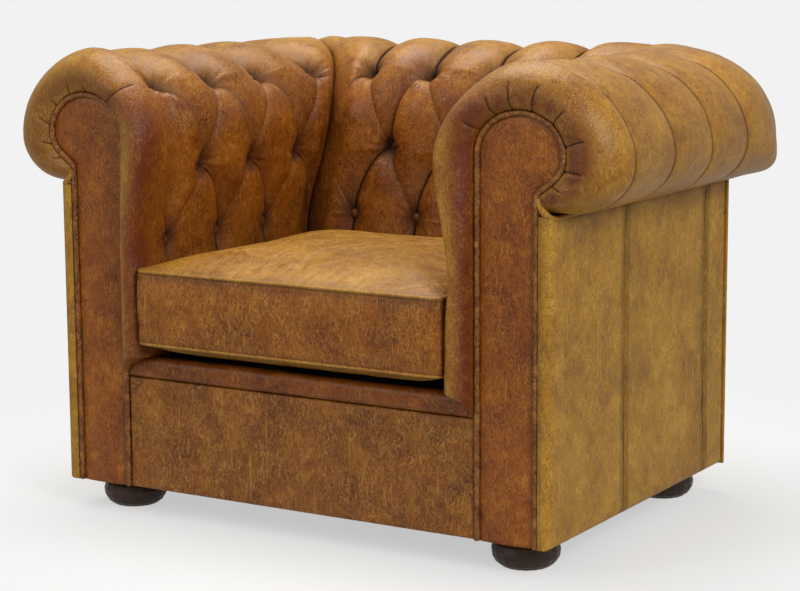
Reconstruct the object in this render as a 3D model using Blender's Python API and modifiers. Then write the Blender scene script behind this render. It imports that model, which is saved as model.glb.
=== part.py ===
# Deep-buttoned leather club chair with rolled arms, a rolled back, a loose seat cushion and bun feet.
# Metres, +Z up. The chair faces -Y, +X is the viewer's right, and the origin is on the floor
# under the middle of the chair's box.
import math

import bmesh
import bpy
import numpy as np

for old in list(bpy.data.objects):
    bpy.data.objects.remove(old, do_unlink=True)

# Driving dimensions of the chair
CHAIR_HEIGHT = 0.7105
ARM_OUTSIDE = 0.425           # half width over the outside arm panels
BASE_DEPTH = 0.602            # facing plane to outside back
FOOT_HEIGHT = 0.045           # floor to the lower edge of the leather
CLEARANCE = 0.0003            # between pieces that touch

# Scroll facing at the front of each arm, with its piping
PIPING_RADIUS = 0.004
PIPING_SEAT = PIPING_RADIUS + 0.0005
OUTSIDE_PANEL = 0.0212        # padded panel on the outside of the arm
FACING_WIDTH = 0.0916
FACING_THICKNESS = 0.012
FACING_OUTSIDE = ARM_OUTSIDE - OUTSIDE_PANEL - PIPING_SEAT - CLEARANCE
FACING_INSIDE = FACING_OUTSIDE - FACING_WIDTH
SCROLL_HALF_WIDTH = 0.0662
SCROLL_HALF_HEIGHT = 0.0575
SCROLL_DROP = 0.122           # top of the roll down to the middle of the scroll
NECK_DROP = 0.0515            # middle of the scroll down to its neck
SCROLL_CENTRE_X = FACING_INSIDE + SCROLL_HALF_WIDTH
SCROLL_CENTRE_Z = CHAIR_HEIGHT - SCROLL_DROP
SCROLL_NECK_Z = SCROLL_CENTRE_Z - NECK_DROP
NECK_TAIL = 0.012             # stretch of outer edge below the neck that the pad also meets
NECK_CURVE = 0.018            # length of the handles of the curve into the neck
NECK_END = (-0.75, -0.66)     # direction in which that curve arrives
SCROLL_LEAVE_ANGLE = math.radians(-12)

# The rolled arm, as half a cross-section measured from the middle of the chair
INNER_BORDER = 0.0503         # facing to the inner arm face at the cushion
ROLL_OVERHANG = 0.0975        # roll beyond the outside panel
ROLL_HALF_WIDTH = 0.1495
ROLL_HALF_HEIGHT = 0.1325
ROLL_DROP = 0.2025            # top of the roll down to its underside
ROLL_LOWER_WIDTH = 0.0875     # reach of the tighter lower outer quarter of the roll
ARM_INSIDE = FACING_INSIDE - INNER_BORDER
ROLL_OUTSIDE = ARM_OUTSIDE + ROLL_OVERHANG
ROLL_CENTRE_X = ROLL_OUTSIDE - ROLL_HALF_WIDTH
ROLL_CENTRE_Z = CHAIR_HEIGHT - ROLL_HALF_HEIGHT
ROLL_UNDERSIDE_Z = CHAIR_HEIGHT - ROLL_DROP

# The rolled back, measured forward and back from the outside back
BACK_LOW_THICKNESS = 0.172
BACK_THICKNESS = 0.152
BACK_OVERHANG = 0.112
BACK_INSIDE_LOW = BASE_DEPTH - BACK_LOW_THICKNESS
BACK_ROLL_INSIDE = BASE_DEPTH - BACK_THICKNESS
BACK_ROLL_OUTSIDE = BASE_DEPTH + BACK_OVERHANG
CORNER_ROUNDING = 0.70        # plan radius of the rear corner as a share of the offset

# Seat heights
RAIL_TOP_Z = 0.2147
SPRING_WIRE = 0.0036
HESSIAN_THICKNESS = 0.0015
DECK_PAD_THICKNESS = 0.0240
SPRING_Z = RAIL_TOP_Z + CLEARANCE + SPRING_WIRE / 2
HESSIAN_LOW_Z = SPRING_Z + SPRING_WIRE / 2 + CLEARANCE
DECK_LOW_Z = HESSIAN_LOW_Z + HESSIAN_THICKNESS + CLEARANCE
DECK_TOP_Z = DECK_LOW_Z + DECK_PAD_THICKNESS
CUSHION_FRONT_REACH = 0.031   # cushion nose ahead of the facing plane
CUSHION_SEAM_TOP_Z = 0.388
CUSHION_SEAM_LOW_Z = 0.277
CUSHION_CROWN_Z = 0.420
CUSHION_GAP_SIDE = 0.0028
CUSHION_GAP_BACK = 0.004
CUSHION_HALF_WIDTH = ARM_INSIDE - CUSHION_GAP_SIDE

# Facing plane of the arms, so that the chair's box is centred on the origin
FACE_Y = -(BACK_ROLL_OUTSIDE - CUSHION_FRONT_REACH) / 2

# The pad's front border: a full roll beside the seat and an easy edge round the head
FRONT_SKIN = 0.028            # depth at which the buttoned skin begins
BORDER_REACH = 0.031          # forward of the facing plane, beside the seat
BORDER_REACH_OUTER = 0.008    # the same on the outer side
BORDER_ROUND = 0.059          # depth of the rounding beside the seat
BORDER_ROUND_OUTER = 0.062
BORDER_CREST = 0.0225         # skin to the crest, beside the seat
BORDER_CREST_OUTER = 0.068

# Buttoned padding
TUFT_DEPTH = 0.026
BUTTON_SINK = 0.016
BUTTON_DIMPLE = 0.021
LOW_ROW_SHARE = 0.52          # depth of the lowest row of buttons against the others
ARM_BUTTON_FIRST = 0.052      # first button behind the facing plane
ARM_BUTTON_PITCH = 0.1297
BACK_BUTTON_PITCH = 0.120
ROW_LOW_Z = 0.411             # heights of the three button rows on the pad
ROW_MID_Z = 0.537
ROW_HIGH_Z = 0.668
CREASE_WIDTH = 0.036
CREASE_DEPTH = 0.034
PLEAT_DEPTH = 0.0060          # pleats on the outer side of the roll

# Wooden frame
BOARD = 0.026
RAIL_FACE_GAP = 0.010         # leather and padding in front of the rails
TOP_RAIL_WIDTH = 0.036
TOP_RAIL_HEAD = 0.033         # top rail above the middle of the scroll
TOP_RAIL_TAIL = 0.038         # top rail below the neck
DECK_GAP_SIDE = 0.002
DECK_GAP_BACK = 0.004
BACK_PANEL = 0.0120
BORDER_THICKNESS = 0.0095
LIP_SEAM = 0.003              # front border above the rail, up to the lip's seam
RAIL_STEP_IN = 0.035          # inner face of the side rails inside the facing
RAIL_WIDTH = 0.060
SEAT_RAIL_LOW_Z = 0.150
LOW_RAIL_TOP_Z = 0.118
TACK_RAIL_LOW_Z = 0.262
TACK_RAIL_TOP_Z = 0.322
TACK_RAIL_BOARD = 0.022
CORNER_BLOCK_REACH = 0.070
CORNER_BLOCK_HEIGHT = 0.040
POST_DEPTH_GAP = 0.020        # pad core to the back posts
LIP_REACH = 0.006             # lip ahead of the facing plane
DUST_COVER = 0.0012

# Feet
FOOT_RADIUS = 0.050
FOOT_INSET_X = 0.076
FOOT_INSET_FRONT = 0.068
FOOT_INSET_BACK = 0.075

SPRING_COUNT = 5
SPRING_PITCH = 0.094
SPRING_LOOP = 0.022
SPRING_TURNS = 10

chair = bpy.data.collections.new("worn_club_chair")
bpy.context.scene.collection.children.link(chair)


def material(name, colour, roughness, metallic=0.0):
    """A Principled material with one colour."""
    made = bpy.data.materials.new(name)
    made.use_nodes = True
    shader = made.node_tree.nodes["Principled BSDF"]
    shader.inputs["Base Color"].default_value = (*colour, 1.0)
    shader.inputs["Roughness"].default_value = roughness
    shader.inputs["Metallic"].default_value = metallic
    return made


LEATHER = material("worn_tan_leather", (0.30, 0.135, 0.035), 0.42)
LEATHER_EDGE = material("piping_leather", (0.16, 0.062, 0.02), 0.45)
FOOT_WOOD = material("dark_foot_wood", (0.022, 0.012, 0.008), 0.4)
FRAME_WOOD = material("frame_hardwood", (0.52, 0.36, 0.20), 0.7)
SPRING_STEEL = material("spring_steel", (0.42, 0.42, 0.43), 0.35, 1.0)
HESSIAN = material("hessian", (0.42, 0.32, 0.18), 0.95)
FELT = material("grey_felt", (0.30, 0.29, 0.27), 0.95)
BLACK_CLOTH = material("black_lining", (0.015, 0.015, 0.016), 0.9)


def keep(piece, name, finish):
    """Name a finished piece, give it its material and put it in the chair's collection."""
    piece.name = name
    piece.data.name = name
    piece.data.materials.clear()
    piece.data.materials.append(finish)
    for home in list(piece.users_collection):
        home.objects.unlink(piece)
    chair.objects.link(piece)
    return piece


def mesh_piece(name, points, faces, finish, smooth=True):
    """A piece from points and faces, with its faces turned outward."""
    mesh = bpy.data.meshes.new(name)
    mesh.from_pydata([tuple(map(float, point)) for point in points], [], faces)
    shape = bmesh.new()
    shape.from_mesh(mesh)
    bmesh.ops.recalc_face_normals(shape, faces=shape.faces)
    shape.to_mesh(mesh)
    shape.free()
    if smooth:
        mesh.shade_smooth()
        mesh.set_sharp_from_angle(angle=math.radians(50))
    return keep(bpy.data.objects.new(name, mesh), name, finish)


def box(name, low, high, finish, bevel=0.0, segments=2):
    """A block between two corners, with rounded edges where bevel is above zero."""
    low = np.array(low)
    high = np.array(high)
    bpy.ops.mesh.primitive_cube_add(size=1.0)
    piece = bpy.context.object
    piece.scale = tuple(high - low)
    bpy.ops.object.transform_apply(location=False, rotation=False, scale=True)
    piece.location = tuple((high + low) / 2)
    if bevel > 0:
        edge = piece.modifiers.new("edges", "BEVEL")
        edge.width = bevel
        edge.segments = segments
        piece.data.shade_smooth()
        piece.data.set_sharp_from_angle(angle=math.radians(50))
    return keep(piece, name, finish)


def tube(name, points, radius, finish, resolution=1):
    """A round cord along points, welded into one closed skin."""
    curve = bpy.data.curves.new(name, "CURVE")
    curve.dimensions = "3D"
    curve.bevel_depth = radius
    curve.bevel_resolution = resolution
    curve.use_fill_caps = True
    line = curve.splines.new("POLY")
    line.points.add(len(points) - 1)
    for spot, point in zip(line.points, points):
        spot.co = (*map(float, point), 1.0)
    line.use_smooth = True
    return keep(bpy.data.objects.new(name, curve), name, finish)


def plate(name, outline, y_front, thickness, finish):
    """A flat plate in the XZ plane from an outline, front face at y_front."""
    front = [(x, y_front, z) for x, z in outline]
    rear = [(x, y_front + thickness, z) for x, z in outline]
    count = len(outline)
    faces = [list(range(count)), list(range(2 * count - 1, count - 1, -1))]
    for index in range(count):
        after = (index + 1) % count
        faces.append([index, after, count + after, count + index])
    return mesh_piece(name, front + rear, faces, finish)


def turned(name, profile, centre, finish, steps=18):
    """A turned piece from a profile of (radius, height) that runs from top to bottom."""
    mesh = bpy.data.meshes.new(name)
    points = [(radius, 0.0, height) for radius, height in profile]
    mesh.from_pydata(points, [(i, i + 1) for i in range(len(points) - 1)], [])
    piece = bpy.data.objects.new(name, mesh)
    piece.location = centre
    screw = piece.modifiers.new("turn", "SCREW")
    screw.steps = steps
    screw.render_steps = steps
    screw.use_merge_vertices = True
    screw.merge_threshold = 0.0001
    screw.use_smooth_shade = True
    return keep(piece, name, finish)


# Cross-section of the rolled arm and back

def smooth(value, start, end):
    """0 before start, 1 after end, and a smooth step between them."""
    share = np.clip((np.asarray(value, float) - start) / (end - start), 0.0, 1.0)
    return share * share * (3 - 2 * share)


LOWER_ROWS = 11
TOP_ROWS = 15
OUTER_ROWS = 6
PAD_BOTTOM_Z = DECK_TOP_Z + CLEARANCE


def arm_section():
    """Outer skin of the arm pad: a straight inner face, half an ellipse over the top,
    a tighter quarter below on the outer side, and the flat underside of the roll."""
    z_low = np.linspace(PAD_BOTTOM_Z, ROLL_CENTRE_Z, LOWER_ROWS, endpoint=False)
    roll_inside = ROLL_CENTRE_X - ROLL_HALF_WIDTH
    x_low = ARM_INSIDE + (roll_inside - ARM_INSIDE) * smooth(z_low, 0.40, ROLL_CENTRE_Z)
    turn = np.linspace(math.pi, 0, TOP_ROWS, endpoint=False)
    x_top = ROLL_CENTRE_X + ROLL_HALF_WIDTH * np.cos(turn)
    z_top = ROLL_CENTRE_Z + ROLL_HALF_HEIGHT * np.sin(turn)
    dip = np.linspace(0, math.pi / 2, OUTER_ROWS)
    x_out = ROLL_OUTSIDE - ROLL_LOWER_WIDTH * (1 - np.cos(dip))
    z_out = ROLL_CENTRE_Z - (ROLL_CENTRE_Z - ROLL_UNDERSIDE_Z) * np.sin(dip)
    x_all = np.concatenate([x_low, x_top, x_out, [FACING_OUTSIDE + PIPING_SEAT]])
    z_all = np.concatenate([z_low, z_top, z_out, [ROLL_UNDERSIDE_Z]])
    return x_all, z_all


def back_depth(x_arm, z_all):
    """Depth behind the facing plane of the back's skin, from the arm's half width there.
    Both rolls share their heights, so they meet along one corner seam."""
    share = (x_arm - (ROLL_CENTRE_X - ROLL_HALF_WIDTH)) / (2 * ROLL_HALF_WIDTH)
    rolled = BACK_ROLL_INSIDE + share * (BACK_ROLL_OUTSIDE - BACK_ROLL_INSIDE)
    lean = BACK_INSIDE_LOW + (BACK_ROLL_INSIDE - BACK_INSIDE_LOW) * smooth(z_all, 0.30, 0.55)
    inner = np.arange(len(x_arm)) < LOWER_ROWS
    return np.where(inner, lean, rolled)


def neck_curve(share):
    """A cubic curve that leaves the head of the scroll smoothly and ends at its neck."""
    turn = SCROLL_LEAVE_ANGLE
    start = np.array([SCROLL_CENTRE_X + SCROLL_HALF_WIDTH * math.cos(turn),
                      SCROLL_CENTRE_Z + SCROLL_HALF_HEIGHT * math.sin(turn)])
    leave = np.array([SCROLL_HALF_WIDTH * math.sin(turn), -SCROLL_HALF_HEIGHT * math.cos(turn)])
    end = np.array([FACING_OUTSIDE, SCROLL_NECK_Z])
    first = start + NECK_CURVE * leave / np.linalg.norm(leave)
    second = end - NECK_CURVE * np.array(NECK_END)
    t = np.asarray(share, float)[:, None]
    curve = ((1 - t) ** 3 * start + 3 * (1 - t) ** 2 * t * first
             + 3 * (1 - t) * t ** 2 * second + t ** 3 * end)
    return curve[:, 0], curve[:, 1]


def scroll_line():
    """The scroll outline, row by row with arm_section: up the inner edge, round the head,
    in along the neck and a little way down the outer edge."""
    z_low = np.linspace(PAD_BOTTOM_Z, SCROLL_CENTRE_Z, LOWER_ROWS, endpoint=False)
    x_low = np.full(LOWER_ROWS, FACING_INSIDE)
    turn = np.linspace(math.pi, SCROLL_LEAVE_ANGLE, TOP_ROWS)
    x_top = SCROLL_CENTRE_X + SCROLL_HALF_WIDTH * np.cos(turn)
    z_top = SCROLL_CENTRE_Z + SCROLL_HALF_HEIGHT * np.sin(turn)
    x_neck, z_neck = neck_curve(np.linspace(0, 1, OUTER_ROWS + 1)[1:])
    x = np.concatenate([x_low, x_top, x_neck, [FACING_OUTSIDE]])
    z = np.concatenate([z_low, z_top, z_neck, [SCROLL_NECK_Z - NECK_TAIL]])
    return x, z


def scroll_section(grow=0.0):
    """The scroll outline moved outward by grow, square to its edges."""
    x, z = scroll_line()
    step_x, step_z = np.diff(x), np.diff(z)
    size = np.hypot(step_x, step_z)
    out_x, out_z = -step_z / size, step_x / size
    first_x = np.concatenate([[out_x[0]], out_x])
    first_z = np.concatenate([[out_z[0]], out_z])
    next_x = np.concatenate([out_x, [out_x[-1]]])
    next_z = np.concatenate([out_z, [out_z[-1]]])
    mitre = 1 + first_x * next_x + first_z * next_z
    return x + grow * (first_x + next_x) / mitre, z + grow * (first_z + next_z) / mitre


SKIN_X, SKIN_Z = arm_section()
SKIN_BACK = back_depth(SKIN_X, SKIN_Z)
CORE_X, CORE_Z = scroll_section(PIPING_SEAT)
ROWS = len(SKIN_X)
CORE_SHARE = (CORE_X - (ROLL_CENTRE_X - ROLL_HALF_WIDTH)) / (2 * ROLL_HALF_WIDTH)
CORE_BACK = BACK_ROLL_INSIDE + CORE_SHARE * (BACK_ROLL_OUTSIDE - BACK_ROLL_INSIDE)
ROW_INDEX = np.arange(ROWS, dtype=float)
MITRE_CUT = 1 - math.sqrt(0.5)


def corner_radius(across):
    """Plan radius of the rear corner, row by row: sharp inside, large over the roll, and
    small again where the underside meets the square panels."""
    radius = CORNER_ROUNDING * np.clip(across - (ROLL_CENTRE_X - ROLL_HALF_WIDTH), 0, None)
    radius = radius * smooth(ROW_INDEX, LOWER_ROWS - 1, LOWER_ROWS + 5)
    radius = radius * (1 - 0.85 * smooth(ROW_INDEX, ROWS - 7, ROWS - 2))
    radius[-1] = 0.0
    return radius


CORNER_RADIUS = corner_radius(SKIN_X)
CORE_CUT = MITRE_CUT * corner_radius(CORE_X)
CORE_SEAM_X = CORE_X - CORE_CUT
CORE_SEAM_Y = CORE_BACK - CORE_CUT


def row_at_height(height):
    """Position along the section, in rows, where its inner side passes a height."""
    inner = SKIN_Z[:LOWER_ROWS + TOP_ROWS // 2]
    return float(np.interp(height, inner, np.arange(len(inner))))


ROW_LOW = row_at_height(ROW_LOW_Z)
ROW_MID = row_at_height(ROW_MID_Z)
ROW_HIGH = row_at_height(ROW_HIGH_Z)


def tuft_level(rows):
    """0 at the low row of buttons, 1 at the middle row and 2 at the high row."""
    return np.interp(rows, [ROW_LOW - 4, ROW_LOW, ROW_MID, ROW_HIGH, ROW_HIGH + 18],
                     [-2.0, 0.0, 1.0, 2.0, 6.0])


def section_normals(across, up):
    """Unit normals of a section, pointing out of the pad."""
    along_x = np.gradient(across)
    along_z = np.gradient(up)
    size = np.hypot(along_x, along_z)
    return -along_z / size, along_x / size


def shallow_low(level):
    """The lowest row of buttons sits in thinner padding, so everything there sinks less."""
    return LOW_ROW_SHARE + (1 - LOW_ROW_SHARE) * smooth(level, 0.0, 1.0)


def quilt(column, level, near_end):
    """Depth of the buttoned skin below its envelope.
    Folds run on the diagonals between buttons, where column plus or minus half the level is
    whole. Above and below the buttons they run on as straight pleats. near_end fades the
    diagonals where a row has no button to run to."""
    inside = np.clip(level, 0, 2)
    first = np.abs(np.sin(math.pi * (column + inside / 2)))
    second = np.abs(np.sin(math.pi * (column - inside / 2)))
    above = np.clip(level - 2, 0, 4)
    sharp = 0.58 - 0.42 * smooth(above, 0.0, 1.8)
    puff = (first * second) ** sharp
    fade = 1 - smooth(above, 0.0, 2.6)
    depth = PLEAT_DEPTH + (TUFT_DEPTH - PLEAT_DEPTH) * fade
    ending = 1 - smooth(level, 4.6, 5.6)
    diagonal = np.where((level > 0) & (level < 2), near_end, 1.0)
    return depth * (1 - puff) * ending * diagonal * shallow_low(level)


def dimples(along, rows, spots, height_step):
    """Round hollows at the buttons. spots holds (place along the pad, row)."""
    total = np.zeros(np.broadcast(along, rows).shape)
    for place, row in spots:
        reach = ((along - place) / BUTTON_DIMPLE) ** 2 + ((rows - row) * height_step / BUTTON_DIMPLE) ** 2
        total = total + BUTTON_SINK * np.exp(-reach)
    return total * shallow_low(tuft_level(rows))


def grid_faces(columns, rows, offset=0):
    """Quads of a grid with the given number of columns and rows."""
    faces = []
    for i in range(columns - 1):
        for j in range(rows - 1):
            a = offset + i * rows + j
            faces.append([a, a + 1, a + rows + 1, a + rows])
    return faces


def strip(first, second):
    """Triangles between two chains of points of the same length."""
    faces = []
    for i in range(len(first) - 1):
        faces.append([first[i], first[i + 1], second[i]])
        faces.append([first[i + 1], second[i + 1], second[i]])
    return faces


ROW_STEP = 0.0315             # mean distance between rows near the buttons
LEVELS = tuft_level(ROW_INDEX)
NORMAL_ACROSS, NORMAL_UP = section_normals(SKIN_X, SKIN_Z)


def corner_path(distance, run, radius):
    """Offsets from the corner (back along the pad, in from its face) and the turn of the
    normal, at a distance along a path that runs straight and then round 45 degrees."""
    straight = run - radius
    past = np.clip(distance - straight, 0, None)
    turn = np.where(radius > 1e-6, past / np.maximum(radius, 1e-6), 0.0)
    turn = np.clip(turn, 0, math.pi / 4)
    forward = np.where(distance < straight, distance, straight + radius * np.sin(turn))
    inward = radius * (1 - np.cos(turn))
    return forward, inward, turn


def pad_columns(buttons, ends, detail):
    """Places along a pad, close together at the pleats and wider between them."""
    places = list(ends)
    for start, stop in zip(buttons[:-1], buttons[1:]):
        places += [start + (stop - start) * share for share in detail]
    places.append(buttons[-1])
    return sorted(set(round(place, 6) for place in places))


LAST_PLEAT_SHARE = 0.92
SEAM_SHARES = (0.05, 0.14, 0.3, 0.46, 0.6, 0.72, 0.82, 0.9, 0.955, 0.985, 1.0)
PLEAT_SHARES = (0.0, 0.035, 0.12, 0.26, 0.42, 0.5, 0.58, 0.74, 0.88, 0.965)


def crease(gap_to_seam, rows):
    """Roll-off of a pad into the corner seam, deep inside and shallow on the outside."""
    outer = smooth(rows, ROW_HIGH - 1, ROW_HIGH + 9)
    width = CREASE_WIDTH * (1 - 0.6 * outer)
    depth = CREASE_DEPTH * (1 - outer) + PLEAT_DEPTH * outer
    share = np.clip(1 - gap_to_seam / width, 0, 1)
    ending = 1 - smooth(LEVELS[None, :], 4.6, 5.6)
    return depth * (1 - np.sqrt(np.clip(1 - share ** 2, 0, 1))) * ending


def arm_pad(side, name):
    """The buttoned arm pad: a tufted skin from the deck over the roll to its underside, a
    rounded front border that turns in to the scroll, and a hollow for the frame."""
    buttons = [ARM_BUTTON_FIRST + ARM_BUTTON_PITCH * i for i in range(4)]
    fixed = pad_columns(buttons[:3], (0.030, 0.042), PLEAT_SHARES)
    front = FRONT_SKIN
    crest, reach_ahead, rounding = border_shape()
    run = SKIN_BACK
    total = run - CORNER_RADIUS + CORNER_RADIUS * math.pi / 4
    # The back pad comes forward low down, so the last column of pleats closes up there
    third = buttons[2]
    fourth = np.minimum(buttons[3], third + LAST_PLEAT_SHARE * (total - third))
    distance = [np.full(ROWS, place) for place in fixed if place > front]
    distance += [third + (fourth - third) * share for share in PLEAT_SHARES[1:]]
    distance += [fourth + (total - fourth) * share for share in SEAM_SHARES]
    distance = np.array(distance)
    rows = np.broadcast_to(ROW_INDEX, distance.shape)
    forward, inward, turn = corner_path(distance, run[None, :], CORNER_RADIUS[None, :])
    to_seam = total[None, :] - distance

    column = (distance - buttons[0]) / ARM_BUTTON_PITCH
    closed_up = 2 + (distance - third) / (fourth - third)[None, :]
    column = np.where(distance > third, np.minimum(closed_up, 3), column)
    column = np.where(distance > fourth[None, :], 3 + (distance - fourth[None, :]) / ARM_BUTTON_PITCH, column)
    near_end = smooth(column, -0.42, -0.02) * (1 - smooth(column, 3.0, 3.35))
    level = np.broadcast_to(LEVELS, distance.shape)
    sink = quilt(column, level, near_end) * smooth(column, -0.36, -0.1) * (1 - 0.75 * smooth(column, 3.1, 3.3))
    fourth_mid = float(np.interp(ROW_MID, ROW_INDEX, fourth))
    spots = [(place, ROW_HIGH) for place in buttons]
    spots += [(place + ARM_BUTTON_PITCH / 2, ROW_MID) for place in buttons[:2]]
    spots += [((third + fourth_mid) / 2, ROW_MID)]
    spots += [(place, ROW_LOW) for place in buttons[:3]]
    sink = (sink + dimples(distance, rows, spots, ROW_STEP)) * smooth(to_seam, 0.0, 0.022)
    sink = sink + crease(to_seam, rows) * (1 - np.clip(sink / (TUFT_DEPTH + BUTTON_SINK), 0, 1))

    # Outward direction, turned to the corner seam's own direction at the seam
    out_x = NORMAL_ACROSS[None, :] * np.cos(turn)
    out_y = NORMAL_ACROSS[None, :] * np.sin(turn)
    seam = 1 - smooth(to_seam, 0.0, 0.03)
    half = NORMAL_ACROSS[None, :] * math.sqrt(0.5)
    out_x = out_x * (1 - seam) + half * seam
    out_y = out_y * (1 - seam) + half * seam
    out_z = np.broadcast_to(NORMAL_UP, distance.shape)
    # Outer rows start to round over before the border begins
    early = np.clip((rounding - reach_ahead - distance) / rounding, 0, 1)
    edge = crest * (1 - np.sqrt(1 - early ** 2))
    inset_x, inset_z = CORE_X - SKIN_X, CORE_Z - SKIN_Z
    reach = np.maximum(np.hypot(inset_x, inset_z), 1e-6)
    x = SKIN_X[None, :] - inward - out_x * sink + inset_x / reach * edge
    y = forward - out_y * sink
    z = SKIN_Z[None, :] - out_z * sink + inset_z / reach * edge
    y[-1] -= CLEARANCE

    # Rounded front border, from the skin forward and in to the scroll
    begin = np.arcsin(np.clip((rounding - reach_ahead - front) / rounding, 0, 1))
    rings = []
    for share in (0.0, 0.3, 0.6, 1.0):
        angle = begin + (math.pi / 2 - begin) * share
        inset = crest * (1 - np.cos(angle))
        rings.append((inset / reach, rounding - reach_ahead - rounding * np.sin(angle)))
    for share in (0.45, 0.8, 1.0):
        ahead = -reach_ahead * math.sqrt(1 - share ** 2)
        rings.append(((crest + (reach - crest) * share) / reach, ahead))
    ring_x = [SKIN_X + inset_x * share for share, _ in rings]
    ring_z = [SKIN_Z + inset_z * share for share, _ in rings]
    ring_y = [depth for _, depth in rings]
    ring_sink = radial_pleats()
    for index in range(1, len(rings) - 1):
        ring_y[index] = ring_y[index] + ring_sink * index / len(rings)

    x = np.vstack([np.array(ring_x)[::-1], x])
    y = np.vstack([np.array(ring_y)[::-1], y])
    z = np.vstack([np.array(ring_z)[::-1], z])
    # The underside keeps one height, so the lower strip stays flat
    z[:, -1] = ROLL_UNDERSIDE_Z
    z[0, -1] = CORE_Z[-1]
    return close_pad(name, side, x, y, z, is_arm=True)


def border_shape():
    """For each row: skin to crest, reach ahead of the facing plane, and depth of rounding."""
    outer = smooth(ROW_INDEX, LOWER_ROWS - 2, LOWER_ROWS + TOP_ROWS - 3)
    reach = np.hypot(CORE_X - SKIN_X, CORE_Z - SKIN_Z)
    crest = BORDER_CREST + (BORDER_CREST_OUTER - BORDER_CREST) * outer
    ahead = BORDER_REACH + (BORDER_REACH_OUTER - BORDER_REACH) * outer
    ahead = ahead * (0.4 + 0.6 * smooth(ROW_INDEX, 0, 1)) * (1 - 0.6 * smooth(ROW_INDEX, ROWS - 4, ROWS - 1))
    rounding = BORDER_ROUND + (BORDER_ROUND_OUTER - BORDER_ROUND) * outer
    return np.minimum(crest, 0.62 * reach), ahead, rounding


def radial_pleats():
    """Gathers of the front border round the scroll's head, as a depth for each row."""
    rows = ROW_INDEX
    around = (rows > LOWER_ROWS) & (rows < ROWS - 3)
    return np.where(around, PLEAT_DEPTH * 0.35 * (1 + np.cos(math.pi * rows)), 0.0)


def close_pad(name, side, x, y, z, is_arm):
    """Close a pad with its core surface, its bottom and its ends."""
    columns, rows = x.shape
    points = [(x[i, j], y[i, j], z[i, j]) for i in range(columns) for j in range(rows)]
    faces = grid_faces(columns, rows)
    base = len(points)
    if is_arm:
        # The front edge of the skin is the core's front edge, so one more chain closes the core
        points += [(CORE_SEAM_X[j], CORE_SEAM_Y[j] - CLEARANCE, CORE_Z[j]) for j in range(rows)]
        rear = list(range(base, base + rows))
        front = list(range(rows))
        faces += strip(front, rear)
        last = [(columns - 1) * rows + j for j in range(rows)]
        faces += strip(rear, last)
        low_edge = [i * rows for i in range(columns)] + [rear[0]]
        high_edge = [i * rows + rows - 1 for i in range(columns)] + [rear[-1]]
    else:
        points += [(-CORE_SEAM_X[j], CORE_SEAM_Y[j] + CLEARANCE, CORE_Z[j]) for j in range(rows)]
        points += [(CORE_SEAM_X[j], CORE_SEAM_Y[j] + CLEARANCE, CORE_Z[j]) for j in range(rows)]
        left = list(range(base, base + rows))
        right = list(range(base + rows, base + 2 * rows))
        first = list(range(rows))
        last = [(columns - 1) * rows + j for j in range(rows)]
        faces += strip(left, right) + strip(left, first) + strip(right, last)
        low_edge = [i * rows for i in range(columns)] + [right[0], left[0]]
        high_edge = [i * rows + rows - 1 for i in range(columns)] + [right[-1], left[-1]]
    faces += [low_edge, high_edge]
    placed = [(side * px, FACE_Y + py, pz) for px, py, pz in points]
    return mesh_piece(name, placed, faces, LEATHER)


def back_pad():
    """The buttoned back pad between the two corner seams."""
    buttons = [BACK_BUTTON_PITCH * (i - 1.5) for i in range(4)]
    fixed = pad_columns(buttons, (), PLEAT_SHARES)
    last = buttons[-1]
    run = SKIN_X
    total = run - CORNER_RADIUS + CORNER_RADIUS * math.pi / 4
    right = [last + (total - last) * share for share in SEAM_SHARES]
    left = [-place for place in right[::-1]]
    distance = np.array(left + [np.full(ROWS, place) for place in fixed] + right)
    rows = np.broadcast_to(ROW_INDEX, distance.shape)
    across, inward, turn = corner_path(np.abs(distance), run[None, :], CORNER_RADIUS[None, :])
    sign = np.sign(distance)
    to_seam = total[None, :] - np.abs(distance)

    column = (distance - buttons[0]) / BACK_BUTTON_PITCH
    level = np.broadcast_to(LEVELS, distance.shape)
    near_end = smooth(column, -0.4, -0.02) * (1 - smooth(column, 3.02, 3.4))
    edge = smooth(column, -0.42, -0.12) * (1 - smooth(column, 3.12, 3.42))
    sink = quilt(column, level, near_end) * (0.25 + 0.75 * edge)
    spots = [(place, ROW_HIGH) for place in buttons]
    spots += [(place + BACK_BUTTON_PITCH / 2, ROW_MID) for place in buttons[:3]]
    spots += [(place, ROW_LOW) for place in buttons]
    sink = (sink + dimples(distance, rows, spots, ROW_STEP)) * smooth(to_seam, 0.0, 0.022)
    sink = sink + crease(to_seam, rows) * (1 - np.clip(sink / (TUFT_DEPTH + BUTTON_SINK), 0, 1))

    out_y = NORMAL_ACROSS[None, :] * np.cos(turn)
    out_x = NORMAL_ACROSS[None, :] * np.sin(turn)
    seam = 1 - smooth(to_seam, 0.0, 0.03)
    half = NORMAL_ACROSS[None, :] * math.sqrt(0.5)
    out_x = out_x * (1 - seam) + half * seam
    out_y = out_y * (1 - seam) + half * seam
    out_z = np.broadcast_to(NORMAL_UP, distance.shape)
    x = sign * (across - out_x * sink)
    y = SKIN_BACK[None, :] - inward - out_y * sink
    z = SKIN_Z[None, :] - out_z * sink
    y[0] += CLEARANCE
    y[-1] += CLEARANCE
    z[:, -1] = ROLL_UNDERSIDE_Z
    return close_pad("back_pad", 1, x, y, z, is_arm=False)


arm_pad(-1, "arm_pad_left")
arm_pad(1, "arm_pad_right")
back_pad()

SIDES = ((-1, "left"), (1, "right"))


def mirrored(side, low, high):
    """Corners of a block on one side of the chair, from its place on the right."""
    if side > 0:
        return low, high
    return (-high[0], low[1], low[2]), (-low[0], high[1], high[2])


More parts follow.
